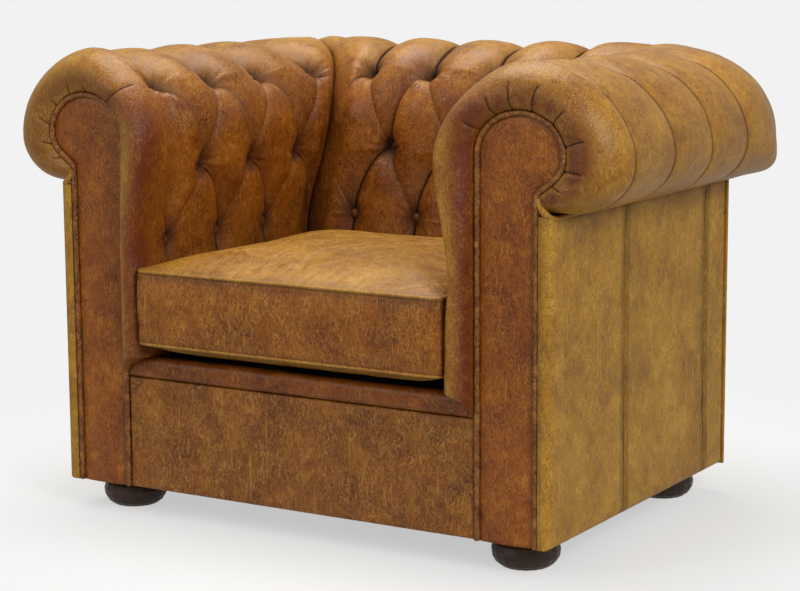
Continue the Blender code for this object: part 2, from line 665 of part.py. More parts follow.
def side_box(side, name, low, high, finish, bevel=0.0):
    """A block given by its place on the right-hand side, with y from the facing plane."""
    low, high = mirrored(side, low, high)
    low = (low[0], FACE_Y + low[1], low[2])
    high = (high[0], FACE_Y + high[1], high[2])
    return box(name, low, high, finish, bevel)


# Scroll facings, their piping and the posts behind them

def scroll_outline(side, inset, bottom):
    """Closed outline of the scroll facing, moved in by inset."""
    x, z = scroll_section(-inset)
    x, z = x[:-1], z[:-1]
    x = np.concatenate([[x[0]], x[1:], [FACING_OUTSIDE - inset]])
    z = np.concatenate([[bottom], z[1:], [bottom]])
    points = [(side * px, pz) for px, pz in zip(x, z)]
    return points


LEATHER_LOW_Z = FOOT_HEIGHT
FRAME_LOW_Z = LEATHER_LOW_Z + DUST_COVER + 2 * CLEARANCE
for side, word in SIDES:
    plate(f"arm_facing_{word}", scroll_outline(side, PIPING_SEAT, LEATHER_LOW_Z),
          FACE_Y, FACING_THICKNESS, LEATHER)
    line = scroll_outline(side, 0.0, LEATHER_LOW_Z)
    tube(f"facing_piping_{word}", [(x, FACE_Y + PIPING_RADIUS * 0.5, z) for x, z in line],
         PIPING_RADIUS, LEATHER_EDGE)
    plate(f"front_post_{word}", scroll_outline(side, PIPING_SEAT + 0.002, FRAME_LOW_Z),
          FACE_Y + FACING_THICKNESS + CLEARANCE, BOARD, FRAME_WOOD)

POST_BACK_Y = FACING_THICKNESS + CLEARANCE + BOARD + CLEARANCE

# Outside panels, the front border and the lip
for side, word in SIDES:
    side_box(side, f"outside_arm_{word}",
             (ARM_OUTSIDE - OUTSIDE_PANEL, -0.004, LEATHER_LOW_Z),
             (ARM_OUTSIDE, BASE_DEPTH - BACK_PANEL - CLEARANCE, ROLL_UNDERSIDE_Z - 0.0006),
             LEATHER, 0.009)
box("outside_back", (-ARM_OUTSIDE, FACE_Y + BASE_DEPTH - BACK_PANEL, LEATHER_LOW_Z),
    (ARM_OUTSIDE, FACE_Y + BASE_DEPTH, ROLL_UNDERSIDE_Z - 0.0006), LEATHER, 0.005)
BORDER_HALF = FACING_INSIDE - PIPING_SEAT
box("front_border", (-BORDER_HALF, FACE_Y, LEATHER_LOW_Z),
    (BORDER_HALF, FACE_Y + BORDER_THICKNESS, RAIL_TOP_Z + LIP_SEAM), LEATHER, 0.002, 1)

# Seat frame
RAIL_FRONT_Y = RAIL_FACE_GAP
RAIL_BACK_Y = BASE_DEPTH - BACK_PANEL - CLEARANCE
SIDE_RAIL_IN = FACING_INSIDE - RAIL_STEP_IN
box("front_rail", (-SIDE_RAIL_IN, FACE_Y + RAIL_FRONT_Y, FRAME_LOW_Z),
    (SIDE_RAIL_IN, FACE_Y + RAIL_FRONT_Y + BOARD, RAIL_TOP_Z), FRAME_WOOD, 0.002, 1)
box("rear_rail", (-SIDE_RAIL_IN, FACE_Y + RAIL_BACK_Y - BOARD, FRAME_LOW_Z),
    (SIDE_RAIL_IN, FACE_Y + RAIL_BACK_Y, RAIL_TOP_Z), FRAME_WOOD, 0.002, 1)
for side, word in SIDES:
    side_box(side, f"seat_side_rail_{word}",
             (SIDE_RAIL_IN + CLEARANCE, POST_BACK_Y, SEAT_RAIL_LOW_Z),
             (SIDE_RAIL_IN + RAIL_WIDTH, RAIL_BACK_Y, RAIL_TOP_Z), FRAME_WOOD, 0.002)
    side_box(side, f"lower_side_rail_{word}",
             (SIDE_RAIL_IN + CLEARANCE, POST_BACK_Y, FRAME_LOW_Z),
             (SIDE_RAIL_IN + RAIL_WIDTH, RAIL_BACK_Y, LOW_RAIL_TOP_Z), FRAME_WOOD, 0.002)

# Back posts, top rails and tacking rails
POST_OUT = ARM_OUTSIDE - OUTSIDE_PANEL - CLEARANCE
POST_IN = SIDE_RAIL_IN + RAIL_WIDTH + CLEARANCE
CORE_BACK_Y = float(CORE_BACK[0])
TOP_RAIL_X = SCROLL_CENTRE_X
TOP_RAIL_LOW_Z = SCROLL_NECK_Z - TOP_RAIL_TAIL
TOP_RAIL_TOP_Z = SCROLL_CENTRE_Z + TOP_RAIL_HEAD
TOP_RAIL_HALF = TOP_RAIL_WIDTH / 2
TOP_RAIL_BACK_Y = float(CORE_SEAM_Y[:LOWER_ROWS].max() + CORE_SEAM_Y.max()) / 2
for side, word in SIDES:
    side_box(side, f"back_post_{word}", (POST_IN, CORE_BACK_Y + POST_DEPTH_GAP, FRAME_LOW_Z),
             (POST_OUT, RAIL_BACK_Y, TOP_RAIL_LOW_Z - CLEARANCE), FRAME_WOOD, 0.002)
    side_box(side, f"arm_top_rail_{word}",
             (TOP_RAIL_X - TOP_RAIL_HALF, POST_BACK_Y, TOP_RAIL_LOW_Z),
             (TOP_RAIL_X + TOP_RAIL_HALF, TOP_RAIL_BACK_Y - TOP_RAIL_HALF - CLEARANCE, TOP_RAIL_TOP_Z),
             FRAME_WOOD, 0.012)
    side_box(side, f"arm_tack_rail_{word}",
             (FACING_INSIDE + CLEARANCE - PIPING_SEAT, POST_BACK_Y, TACK_RAIL_LOW_Z),
             (FACING_INSIDE + TACK_RAIL_BOARD, CORE_BACK_Y - DECK_GAP_BACK, TACK_RAIL_TOP_Z), FRAME_WOOD, 0.002)
box("back_top_rail",
    (-TOP_RAIL_X, FACE_Y + TOP_RAIL_BACK_Y - TOP_RAIL_HALF, TOP_RAIL_LOW_Z),
    (TOP_RAIL_X, FACE_Y + TOP_RAIL_BACK_Y + TOP_RAIL_HALF, TOP_RAIL_TOP_Z),
    FRAME_WOOD, 0.012)
box("back_tack_rail", (-POST_IN + CLEARANCE, FACE_Y + CORE_BACK_Y + 2 * CLEARANCE, TACK_RAIL_LOW_Z),
    (POST_IN - CLEARANCE, FACE_Y + CORE_BACK_Y + TACK_RAIL_BOARD, TACK_RAIL_TOP_Z), FRAME_WOOD, 0.002, 1)


def corner_block(name, side, low_y, high_y):
    """A three-cornered block glued into a corner of the seat frame."""
    x_side = side * (SIDE_RAIL_IN - CLEARANCE)
    x_in = side * (SIDE_RAIL_IN - CORNER_BLOCK_REACH)
    low, high = FRAME_LOW_Z, FRAME_LOW_Z + CORNER_BLOCK_HEIGHT
    ring = [(x_side, low_y), (x_in, low_y), (x_side, high_y)]
    points = [(x, FACE_Y + y, low) for x, y in ring] + [(x, FACE_Y + y, high) for x, y in ring]
    faces = [[0, 1, 2], [5, 4, 3], [0, 3, 4, 1], [1, 4, 5, 2], [2, 5, 3, 0]]
    return mesh_piece(name, points, faces, FRAME_WOOD, smooth=False)


FRONT_IN_Y = RAIL_FRONT_Y + BOARD + CLEARANCE
BACK_IN_Y = RAIL_BACK_Y - BOARD - CLEARANCE
for side, word in SIDES:
    corner_block(f"corner_block_front_{word}", side, FRONT_IN_Y, FRONT_IN_Y + CORNER_BLOCK_REACH)
    corner_block(f"corner_block_rear_{word}", side, BACK_IN_Y, BACK_IN_Y - CORNER_BLOCK_REACH)

# Zigzag springs across the seat, front rail to rear rail
SPRING_FRONT_Y = RAIL_FRONT_Y + BOARD / 2
SPRING_BACK_Y = RAIL_BACK_Y - BOARD / 2


def zigzag(x_middle):
    """Points of a wire that swings from side to side as it runs back."""
    points = []
    for step in range(4 * SPRING_TURNS + 1):
        share = step / (4 * SPRING_TURNS)
        swing = (0.0, 1.0, 0.0, -1.0)[step % 4] if step % 2 else 0.0
        run = SPRING_BACK_Y - SPRING_FRONT_Y
        points.append((x_middle + SPRING_LOOP * swing, FACE_Y + SPRING_FRONT_Y + run * share, SPRING_Z))
    return points


for index in range(SPRING_COUNT):
    tube(f"seat_spring_{index + 1}", zigzag((index - (SPRING_COUNT - 1) / 2) * SPRING_PITCH),
         SPRING_WIRE / 2, SPRING_STEEL)

# Deck over the springs, and the padded front lip
DECK_HALF = FACING_INSIDE - PIPING_SEAT - DECK_GAP_SIDE
DECK_BACK_Y = CORE_BACK_Y - DECK_GAP_BACK
box("deck_hessian", (-DECK_HALF, FACE_Y + SPRING_FRONT_Y, HESSIAN_LOW_Z),
    (DECK_HALF, FACE_Y + DECK_BACK_Y, HESSIAN_LOW_Z + HESSIAN_THICKNESS), HESSIAN)
LIP_BACK_Y = SPRING_FRONT_Y - SPRING_WIRE
box("seat_lip", (-BORDER_HALF, FACE_Y - LIP_REACH, RAIL_TOP_Z + LIP_SEAM + CLEARANCE),
    (BORDER_HALF, FACE_Y + SPRING_FRONT_Y - CLEARANCE - SPRING_WIRE, DECK_TOP_Z), LEATHER, 0.011, 3)
box("deck_pad", (-DECK_HALF, FACE_Y + LIP_BACK_Y, DECK_LOW_Z),
    (DECK_HALF, FACE_Y + DECK_BACK_Y, DECK_TOP_Z), FELT, 0.004, 1)

# Loose seat cushion
CUSHION_LOW_Z = DECK_TOP_Z + CLEARANCE


def seat_cushion():
    """A boxed cushion: a plan with rounded front corners, carried from its flat foot out to a
    belly, in at the lower seam, up the border to the top seam, and over the crown."""
    back = BACK_INSIDE_LOW - CUSHION_GAP_BACK
    front = -CUSHION_FRONT_REACH
    middle = (front + back) / 2
    half_length = (back - front) / 2
    count = 48
    angle = np.linspace(0, 2 * math.pi, count, endpoint=False) + math.pi / count
    power = 0.20
    plan_x = np.sign(np.cos(angle)) * np.abs(np.cos(angle)) ** power
    plan_y = np.sign(np.sin(angle)) * np.abs(np.sin(angle)) ** power
    rings = ((0.0, 0.0), (0.80, 0.0), (0.955, 0.010), (0.992, 0.022), (0.985, CUSHION_SEAM_LOW_Z - CUSHION_LOW_Z),
             (1.0, 0.075), (0.999, 0.110), (0.988, CUSHION_SEAM_TOP_Z - CUSHION_LOW_Z))
    points = [(0.0, FACE_Y + middle, CUSHION_LOW_Z)]
    for scale, rise in rings[1:]:
        points += [(CUSHION_HALF_WIDTH * x * scale, FACE_Y + middle + half_length * y * scale,
                    CUSHION_LOW_Z + rise) for x, y in zip(plan_x, plan_y)]
    crown = CUSHION_CROWN_Z - CUSHION_SEAM_TOP_Z
    for scale in (0.90, 0.72, 0.45):
        rise = CUSHION_SEAM_TOP_Z + crown * (1 - scale ** 2.6)
        points += [(CUSHION_HALF_WIDTH * x * scale, FACE_Y + middle + half_length * y * scale, rise)
                   for x, y in zip(plan_x, plan_y)]
    points.append((0.0, FACE_Y + middle, CUSHION_CROWN_Z))
    ring_count = len(rings) - 1 + 3
    faces = []
    for index in range(count):
        after = (index + 1) % count
        faces.append([0, 1 + after, 1 + index])
        for ring in range(ring_count - 1):
            a = 1 + ring * count
            faces.append([a + index, a + after, a + count + after, a + count + index])
        top = 1 + (ring_count - 1) * count
        faces.append([top + index, top + after, len(points) - 1])
    return mesh_piece("seat_cushion", points, faces, LEATHER)


seat_cushion()

# Underside lining, bun feet and their hanger studs
box("dust_cover", (-ARM_OUTSIDE + OUTSIDE_PANEL + CLEARANCE, FACE_Y + POST_BACK_Y, LEATHER_LOW_Z + CLEARANCE),
    (ARM_OUTSIDE - OUTSIDE_PANEL - CLEARANCE, FACE_Y + RAIL_BACK_Y, LEATHER_LOW_Z + CLEARANCE + DUST_COVER),
    BLACK_CLOTH)


def foot_profile():
    """A flattened bun: a flat top, a full belly and a narrower flat base."""
    top = FOOT_HEIGHT - CLEARANCE
    turn = np.linspace(math.pi / 2 * 0.80, -math.pi / 2 * 0.72, 7)
    belly = FOOT_RADIUS * 0.52
    middle = top * 0.52
    rise = (top - middle) / math.sin(turn[0])
    fall = middle / -math.sin(turn[-1])
    curve = [(FOOT_RADIUS - belly * (1 - math.cos(a)), middle + (rise if a > 0 else fall) * math.sin(a))
             for a in turn]
    return [(0.0, top)] + curve + [(0.0, 0.0)]


FOOT_X = ARM_OUTSIDE - FOOT_INSET_X
FOOT_FRONT_Y = FACE_Y + FOOT_INSET_FRONT
FOOT_REAR_Y = FACE_Y + BASE_DEPTH - FOOT_INSET_BACK
for side, word in SIDES:
    for end, y in (("front", FOOT_FRONT_Y), ("rear", FOOT_REAR_Y)):
        turned(f"foot_{end}_{word}", foot_profile(), (side * FOOT_X, y, 0.0), FOOT_WOOD)
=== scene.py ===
# %% [markdown]
# A worn leather club chair.
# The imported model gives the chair's frame, panels and feet at their real size. This lesson
# dresses it: the deep-buttoned pads, the loose cushion, the piping and seams, and the leather.
# Leather over padding could be sculpted by hand, but here each surface is a formula on a grid, so
# that every fold is where the buttons put it and the same size values drive both arms and the back.

# %% Load the frame
import math

import bmesh
import bpy
import numpy as np
from mathutils import Matrix, Vector
from mathutils.bvhtree import BVHTree
from mathutils.kdtree import KDTree


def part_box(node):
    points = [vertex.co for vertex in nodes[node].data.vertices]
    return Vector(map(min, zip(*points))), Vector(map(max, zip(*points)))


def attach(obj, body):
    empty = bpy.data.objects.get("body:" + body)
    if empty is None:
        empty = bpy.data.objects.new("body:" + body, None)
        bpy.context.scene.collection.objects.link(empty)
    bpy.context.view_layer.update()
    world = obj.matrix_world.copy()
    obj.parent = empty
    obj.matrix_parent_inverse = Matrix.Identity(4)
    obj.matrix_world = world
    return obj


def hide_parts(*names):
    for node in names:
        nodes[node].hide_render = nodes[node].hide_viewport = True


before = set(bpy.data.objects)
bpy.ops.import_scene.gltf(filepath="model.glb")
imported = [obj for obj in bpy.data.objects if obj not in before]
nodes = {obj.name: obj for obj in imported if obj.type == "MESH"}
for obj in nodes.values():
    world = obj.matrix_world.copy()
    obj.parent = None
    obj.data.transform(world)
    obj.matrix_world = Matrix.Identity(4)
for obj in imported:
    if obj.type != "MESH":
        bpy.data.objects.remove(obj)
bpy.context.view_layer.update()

# %% [markdown]
# Every piece is worked out from a few sizes in metres. The heights and widths that the frame
# already holds are read from it, so the dressed pieces sit on the wooden ones.

# %% Driving sizes
PANEL_LOW, PANEL_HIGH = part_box("outside_arm_right")
FACING_LOW, FACING_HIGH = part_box("arm_facing_right")
CUSHION_LOW, CUSHION_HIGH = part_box("seat_cushion")
BORDER_LOW, BORDER_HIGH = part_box("front_border")
DECK_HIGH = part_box("deck_pad")[1]
BACK_LOW, BACK_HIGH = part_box("outside_back")
LIP_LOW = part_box("seat_lip")[0]

FACE_Y = FACING_LOW[1]
ARM_OUTSIDE = PANEL_HIGH[0]
BASE_DEPTH = BACK_HIGH[1] - FACE_Y
LEATHER_LOW_Z = FACING_LOW[2]
CHAIR_HEIGHT = 0.7105
CLEARANCE = 0.0003
PIPING_RADIUS = 0.004
PIPING_SEAT = PIPING_RADIUS + 0.0005
FACING_OUTSIDE = PANEL_LOW[0] - PIPING_SEAT - CLEARANCE
FACING_INSIDE = FACING_OUTSIDE - 0.0916
SCROLL_HALF_WIDTH, SCROLL_HALF_HEIGHT = 0.0662, 0.0575
SCROLL_CENTRE_X = FACING_INSIDE + SCROLL_HALF_WIDTH
SCROLL_CENTRE_Z = CHAIR_HEIGHT - 0.122
SCROLL_NECK_Z = SCROLL_CENTRE_Z - 0.0515
SCROLL_LEAVE_ANGLE = math.radians(-12)
NECK_TAIL = 0.012
NECK_CURVE = 0.018
NECK_END = (-0.75, -0.66)

ARM_INSIDE = FACING_INSIDE - 0.0503
ROLL_HALF_WIDTH = 0.1495
ROLL_HALF_HEIGHT = 0.1325
ROLL_OUTSIDE = ARM_OUTSIDE + 0.0975
ROLL_UNDERSIDE_Z = CHAIR_HEIGHT - 0.2025
ROLL_CENTRE_X = ROLL_OUTSIDE - ROLL_HALF_WIDTH
ROLL_CENTRE_Z = CHAIR_HEIGHT - ROLL_HALF_HEIGHT
ROLL_INSIDE = ROLL_CENTRE_X - ROLL_HALF_WIDTH
ROLL_LOWER_WIDTH = 0.0875
BACK_INSIDE_LOW = BASE_DEPTH - 0.172
BACK_ROLL_INSIDE = BASE_DEPTH - 0.152
BACK_ROLL_OUTSIDE = BASE_DEPTH + 0.112
CORNER_ROUNDING = 0.70
PAD_BOTTOM_Z = DECK_HIGH[2] + 0.0003

FRONT_SKIN = 0.028
BORDER_REACH, BORDER_REACH_OUTER = 0.031, 0.008
BORDER_ROUND, BORDER_ROUND_OUTER = 0.059, 0.062
BORDER_CREST, BORDER_CREST_OUTER = 0.0225, 0.068
BORDER_SWELL, TUCK_DEPTH, FRONT_FOLD_DEPTH = 0.0024, 0.0030, 0.0065

TUFT_DEPTH = 0.026
BUTTON_SINK = 0.016
BUTTON_DIMPLE = 0.020
LOW_ROW_SHARE = 0.42
HEAD_FLATTER, HEAD_TALLER = 0.0165, 0.0070
ARM_BUTTON_FIRST = 0.052
ARM_BUTTON_PITCH = 0.1297
BACK_BUTTON_PITCH = 0.120
ROW_LOW_Z, ROW_MID_Z, ROW_HIGH_Z = 0.423, 0.529, 0.668
LAST_PLEAT_SHARE = 0.92
CORNER_INWARD, CORNER_BACKWARD, CORNER_SPREAD = 0.020, 0.028, 0.075
LUMP_HEIGHT, FINE_LUMP_HEIGHT = 0.0034, 0.0012
CREASE_WIDTH = 0.036
CREASE_DEPTH = 0.034
PLEAT_DEPTH = 0.0060

LOWER_ROWS, TOP_ROWS, OUTER_ROWS = 11, 15, 6
LAST_ROW = LOWER_ROWS + TOP_ROWS + OUTER_ROWS

# %% [markdown]
# The camera stands where the photograph's did: to the right of the chair's front, a little above
# its rolls, with a long lens. Its place was worked out from the straight edges of the base.

# %% Camera
PHOTO_WIDTH = 800
FOCAL_PIXELS = 2190.0
CAMERA_AT = Vector((1.7636, FACE_Y - 2.5902, 0.8841))
CAMERA_YAW = math.radians(31.385)
CAMERA_PITCH = math.radians(9.389)
CAMERA_ROLL = math.radians(-0.340)
SENSOR_WIDTH = 36.0

lens = bpy.data.cameras.new("photo_camera")
lens.sensor_fit = "HORIZONTAL"
lens.sensor_width = SENSOR_WIDTH
lens.lens = FOCAL_PIXELS / PHOTO_WIDTH * SENSOR_WIDTH
lens.clip_end = 60.0
camera = bpy.data.objects.new("photo_camera", lens)
bpy.context.scene.collection.objects.link(camera)
forward = Vector((-math.sin(CAMERA_YAW) * math.cos(CAMERA_PITCH),
                  math.cos(CAMERA_YAW) * math.cos(CAMERA_PITCH),
                  -math.sin(CAMERA_PITCH)))
level_right = forward.cross(Vector((0, 0, 1))).normalized()
level_up = level_right.cross(forward)
camera_right = math.cos(CAMERA_ROLL) * level_right + math.sin(CAMERA_ROLL) * level_up
camera_up = camera_right.cross(forward)
axes = Matrix((camera_right, camera_up, -forward)).transposed()
camera.matrix_world = Matrix.Translation(CAMERA_AT) @ axes.to_4x4()
bpy.context.scene.camera = camera

# %% [markdown]
# Small helpers put a computed grid into a mesh. `grid_quads` joins the neighbours of a grid of
# points, `set_attribute` stores a number on each point for the leather to read, `hash_noise` gives
# the same soft unevenness on every run, and `tube` carries a circle along a path. They take whole
# arrays, because a loop over each point would be slow at this density.

# %% Mesh helpers
def new_object(name, points, faces, smooth=True):
    """A mesh object at the origin from points and faces, shaded smooth."""
    mesh = bpy.data.meshes.new(name)
    mesh.from_pydata(np.asarray(points, float).tolist(), [], [list(map(int, face)) for face in faces])
    if smooth:
        mesh.shade_smooth()
    piece = bpy.data.objects.new(name, mesh)
    bpy.context.scene.collection.objects.link(piece)
    return piece


def turn_outward(piece):
    """Point all faces of a closed mesh outward."""
    shape = bmesh.new()
    shape.from_mesh(piece.data)
    bmesh.ops.recalc_face_normals(shape, faces=shape.faces)
    shape.to_mesh(piece.data)
    shape.free()


def grid_quads(columns, rows, wrap_columns=False, wrap_rows=False):
    """Index quads of a grid of columns by rows, which may close on itself either way."""
    i = np.arange(columns if wrap_columns else columns - 1)
    j = np.arange(rows if wrap_rows else rows - 1)
    i, j = np.meshgrid(i, j, indexing="ij")
    k = (i + 1) % columns
    m = (j + 1) % rows
    return np.stack([i * rows + j, i * rows + m, k * rows + m, k * rows + j], -1).reshape(-1, 4)


def set_attribute(piece, name, values):
    """Store one number for each point, for the material to read."""
    layer = piece.data.attributes.new(name, "FLOAT", "POINT")
    layer.data.foreach_set("value", np.asarray(values, np.float32))


def smooth_step(value, start, end):
    """0 before start, 1 after end, and a smooth step between them."""
    share = np.clip((np.asarray(value, float) - start) / (end - start), 0.0, 1.0)
    return share * share * (3 - 2 * share)


def hash_noise(*coordinates, seed=0):
    """Smooth value noise in any number of dimensions, between 0 and 1.
    Each whole point gets a fixed pseudo-random value, blended with smooth steps between."""
    cells = [np.floor(c).astype(np.int64) for c in coordinates]
    parts = [c - f for c, f in zip(coordinates, cells)]
    parts = [p * p * (3 - 2 * p) for p in parts]
    total = 0.0
    for corner in range(2 ** len(cells)):
        mixed = np.full(np.shape(coordinates[0]), seed * 7919 + 17, np.int64)
        weight = 1.0
        for axis, (cell, part) in enumerate(zip(cells, parts)):
            bit = (corner >> axis) & 1
            mixed = (mixed * 73856093) ^ ((cell + bit) * (19349663 + 83492791 * axis))
            weight = weight * (part if bit else 1 - part)
        mixed = (mixed ^ (mixed >> 13)) * 1274126177
        total = total + weight * (((mixed ^ (mixed >> 16)) & 0xFFFF) / 65535.0)
    return total


def tube(name, path, radius, sides=14, closed=False, ripple=None):
    """A round cord: a circle carried along a path in a frame that doesn't twist.
    ripple, if given, scales the radius at each place (path index, angle)."""
    path = np.asarray(path, float)
    count = len(path)
    if closed:
        tangent = np.roll(path, -1, 0) - np.roll(path, 1, 0)
    else:
        tangent = np.gradient(path, axis=0)
    tangent /= np.linalg.norm(tangent, axis=1)[:, None]
    side = np.zeros_like(path)
    guess = np.array([0.0, 1.0, 0.0]) if abs(tangent[0][1]) < 0.9 else np.array([1.0, 0.0, 0.0])
    side[0] = np.cross(tangent[0], guess)
    side[0] /= np.linalg.norm(side[0])
    for index in range(1, count):
        step = side[index - 1] - tangent[index] * np.dot(side[index - 1], tangent[index])
        side[index] = step / np.linalg.norm(step)
    up = np.cross(tangent, side)
    angle = np.linspace(0, 2 * math.pi, sides, endpoint=False)
    size = np.full((count, sides), radius)
    if ripple is not None:
        size = size * ripple(np.arange(count)[:, None], angle[None, :])
    ring = side[:, None] * np.cos(angle)[None, :, None] + up[:, None] * np.sin(angle)[None, :, None]
    points = path[:, None] + ring * size[..., None]
    faces = grid_quads(count, sides, wrap_columns=closed, wrap_rows=True).tolist()
    points = points.reshape(-1, 3)
    if not closed:
        first = len(points)
        points = np.vstack([points, path[:1], path[-1:]])
        for k in range(sides):
            after = (k + 1) % sides
            faces.append([first, after, k])
            last = (count - 1) * sides
            faces.append([first + 1, last + k, last + after])
    piece = new_object(name, points, faces)
    turn_outward(piece)
    return piece


# %% [markdown]
# Section of the rolled arm: a straight inner face, half an ellipse over the top, a tighter
# quarter below it on the outer side, and a short flat underside. `rows` is a running number from
# 0 at the deck to 32 under the roll, so the same fold pattern fits the arms and the back. The
# curve could be drawn by hand, but as a formula it follows the frame when a size changes.

# %% The roll's section
def arm_section(rows):
    """Half width and height of the pad's envelope at each row number."""
    low = np.clip(rows / LOWER_ROWS, 0, 1)
    z_low = PAD_BOTTOM_Z + (ROLL_CENTRE_Z - PAD_BOTTOM_Z) * low
    x_low = ARM_INSIDE + (ROLL_INSIDE - ARM_INSIDE) * smooth_step(z_low, 0.40, ROLL_CENTRE_Z)
    turn = math.pi * (1 - np.clip((rows - LOWER_ROWS) / TOP_ROWS, 0, 1))
    x_top = ROLL_CENTRE_X + ROLL_HALF_WIDTH * np.cos(turn)
    z_top = ROLL_CENTRE_Z + ROLL_HALF_HEIGHT * np.sin(turn)
    dip = np.clip((rows - LOWER_ROWS - TOP_ROWS) / (OUTER_ROWS - 1), 0, 1) * math.pi / 2
    x_out = ROLL_OUTSIDE - ROLL_LOWER_WIDTH * (1 - np.cos(dip))
    z_out = ROLL_CENTRE_Z - (ROLL_CENTRE_Z - ROLL_UNDERSIDE_Z) * np.sin(dip)
    tail = np.clip(rows - (LAST_ROW - 1), 0, 1)
    x_out = x_out + (FACING_OUTSIDE + PIPING_SEAT - (ROLL_OUTSIDE - ROLL_LOWER_WIDTH)) * tail
    x = np.where(rows < LOWER_ROWS, x_low, np.where(rows < LOWER_ROWS + TOP_ROWS, x_top, x_out))
    z = np.where(rows < LOWER_ROWS, z_low, np.where(rows < LOWER_ROWS + TOP_ROWS, z_top, z_out))
    return x, z


def back_depth(x_arm, z, rows):
    """Depth of the back's envelope behind the facing plane, where the arm's is x_arm wide."""
    share = (x_arm - ROLL_INSIDE) / (2 * ROLL_HALF_WIDTH)
    rolled = BACK_ROLL_INSIDE + share * (BACK_ROLL_OUTSIDE - BACK_ROLL_INSIDE)
    lean = BACK_INSIDE_LOW + (BACK_ROLL_INSIDE - BACK_INSIDE_LOW) * smooth_step(z, 0.30, 0.55)
    return np.where(rows < LOWER_ROWS, lean, rolled)


def neck_curve(share):
    """The cubic curve from the head of the scroll to its neck."""
    turn = SCROLL_LEAVE_ANGLE
    start = np.array([SCROLL_CENTRE_X + SCROLL_HALF_WIDTH * math.cos(turn),
                      SCROLL_CENTRE_Z + SCROLL_HALF_HEIGHT * math.sin(turn)])
    leave = np.array([SCROLL_HALF_WIDTH * math.sin(turn), -SCROLL_HALF_HEIGHT * math.cos(turn)])
    end = np.array([FACING_OUTSIDE, SCROLL_NECK_Z])
    first = start + NECK_CURVE * leave / np.linalg.norm(leave)
    second = end - NECK_CURVE * np.array(NECK_END)
    t = np.asarray(share, float)[:, None]
    curve = ((1 - t) ** 3 * start + 3 * (1 - t) ** 2 * t * first
             + 3 * (1 - t) * t ** 2 * second + t ** 3 * end)
    return curve[:, 0], curve[:, 1]


def scroll_line(rows, grow=0.0):
    """Outline of the scroll facing at each row number, moved outward by grow."""
    low = np.clip(rows / LOWER_ROWS, 0, 1)
    z_low = PAD_BOTTOM_Z + (SCROLL_CENTRE_Z - PAD_BOTTOM_Z) * low
    share = np.clip((rows - LOWER_ROWS) / (TOP_ROWS - 1), 0, 1)
    turn = math.pi + (SCROLL_LEAVE_ANGLE - math.pi) * share
    x_top = SCROLL_CENTRE_X + SCROLL_HALF_WIDTH * np.cos(turn)
    z_top = SCROLL_CENTRE_Z + SCROLL_HALF_HEIGHT * np.sin(turn)
    run = np.clip((rows - LOWER_ROWS - TOP_ROWS + 1) / OUTER_ROWS, 0, 1)
    x_neck, z_neck = neck_curve(run)
    tail = np.clip(rows - (LAST_ROW - 1), 0, 1)
    z_neck = z_neck - NECK_TAIL * tail
    x = np.where(rows < LOWER_ROWS, FACING_INSIDE, np.where(share < 1, x_top, x_neck))
    z = np.where(rows < LOWER_ROWS, z_low, np.where(share < 1, z_top, z_neck))
    if grow:
        step_x, step_z = np.diff(x), np.diff(z)
        size = np.maximum(np.hypot(step_x, step_z), 1e-9)
        out_x, out_z = -step_z / size, step_x / size
        before = np.concatenate([[0], np.arange(len(out_x))])
        after = np.concatenate([np.arange(len(out_x)), [len(out_x) - 1]])
        mitre = 1 + out_x[before] * out_x[after] + out_z[before] * out_z[after]
        x = x + grow * (out_x[before] + out_x[after]) / mitre
        z = z + grow * (out_z[before] + out_z[after]) / mitre
    return x, z


# %% [markdown]
# Deep buttoning. Twine pulls each button down to the frame, and the spare leather between
# buttons is tucked into folds on the diagonals. Above the top row the spare leather runs on over
# the roll as straight pleats. The folds are tucked downward, so each one is steep on its upper
# side and easy on its lower side, and each diagonal bows upward, like the edge of a fish scale.
# Each fold gets a running number by column and row, which is whole in the fold itself: the shape
# sinks there, and the leather paints a thin dark line of shade there, however coarse the grid is.

# %% The fold pattern
ROW_COUNT = 300
ROWS = np.linspace(0, LAST_ROW, ROW_COUNT)
SKIN_X, SKIN_Z = arm_section(ROWS)
SKIN_BACK = back_depth(SKIN_X, SKIN_Z, ROWS)
CORE_X, CORE_Z = scroll_line(ROWS, PIPING_SEAT)
CORE_BACK = BACK_ROLL_INSIDE + (CORE_X - ROLL_INSIDE) / (2 * ROLL_HALF_WIDTH) * (
    BACK_ROLL_OUTSIDE - BACK_ROLL_INSIDE)
ARC = np.concatenate([[0], np.cumsum(np.hypot(np.diff(SKIN_X), np.diff(SKIN_Z)))])


def row_at_height(height):
    """Row number where the inner side of the coarse section passes a height."""
    coarse = np.arange(LOWER_ROWS + TOP_ROWS // 2, dtype=float)
    return float(np.interp(height, arm_section(coarse)[1], coarse))


ROW_LOW, ROW_MID, ROW_HIGH = (row_at_height(z) for z in (ROW_LOW_Z, ROW_MID_Z, ROW_HIGH_Z))
LEVELS = np.interp(ROWS, [ROW_LOW - 4, ROW_LOW, ROW_MID, ROW_HIGH, ROW_HIGH + 18],
                   [-2.0, 0.0, 1.0, 2.0, 6.0])
ENDING = 1 - smooth_step(LEVELS, 4.9, 5.7)
MITRE_CUT = 1 - math.sqrt(0.5)


def corner_radius(across):
    """Plan radius of the rear corner at each row: sharp inside and large over the roll."""
    radius = CORNER_ROUNDING * np.clip(across - ROLL_INSIDE, 0, None)
    radius = radius * smooth_step(ROWS, LOWER_ROWS - 1, LOWER_ROWS + 5)
    radius = radius * (1 - 0.85 * smooth_step(ROWS, LAST_ROW - 6, LAST_ROW - 1))
    return radius * (1 - smooth_step(ROWS, LAST_ROW - 1, LAST_ROW))


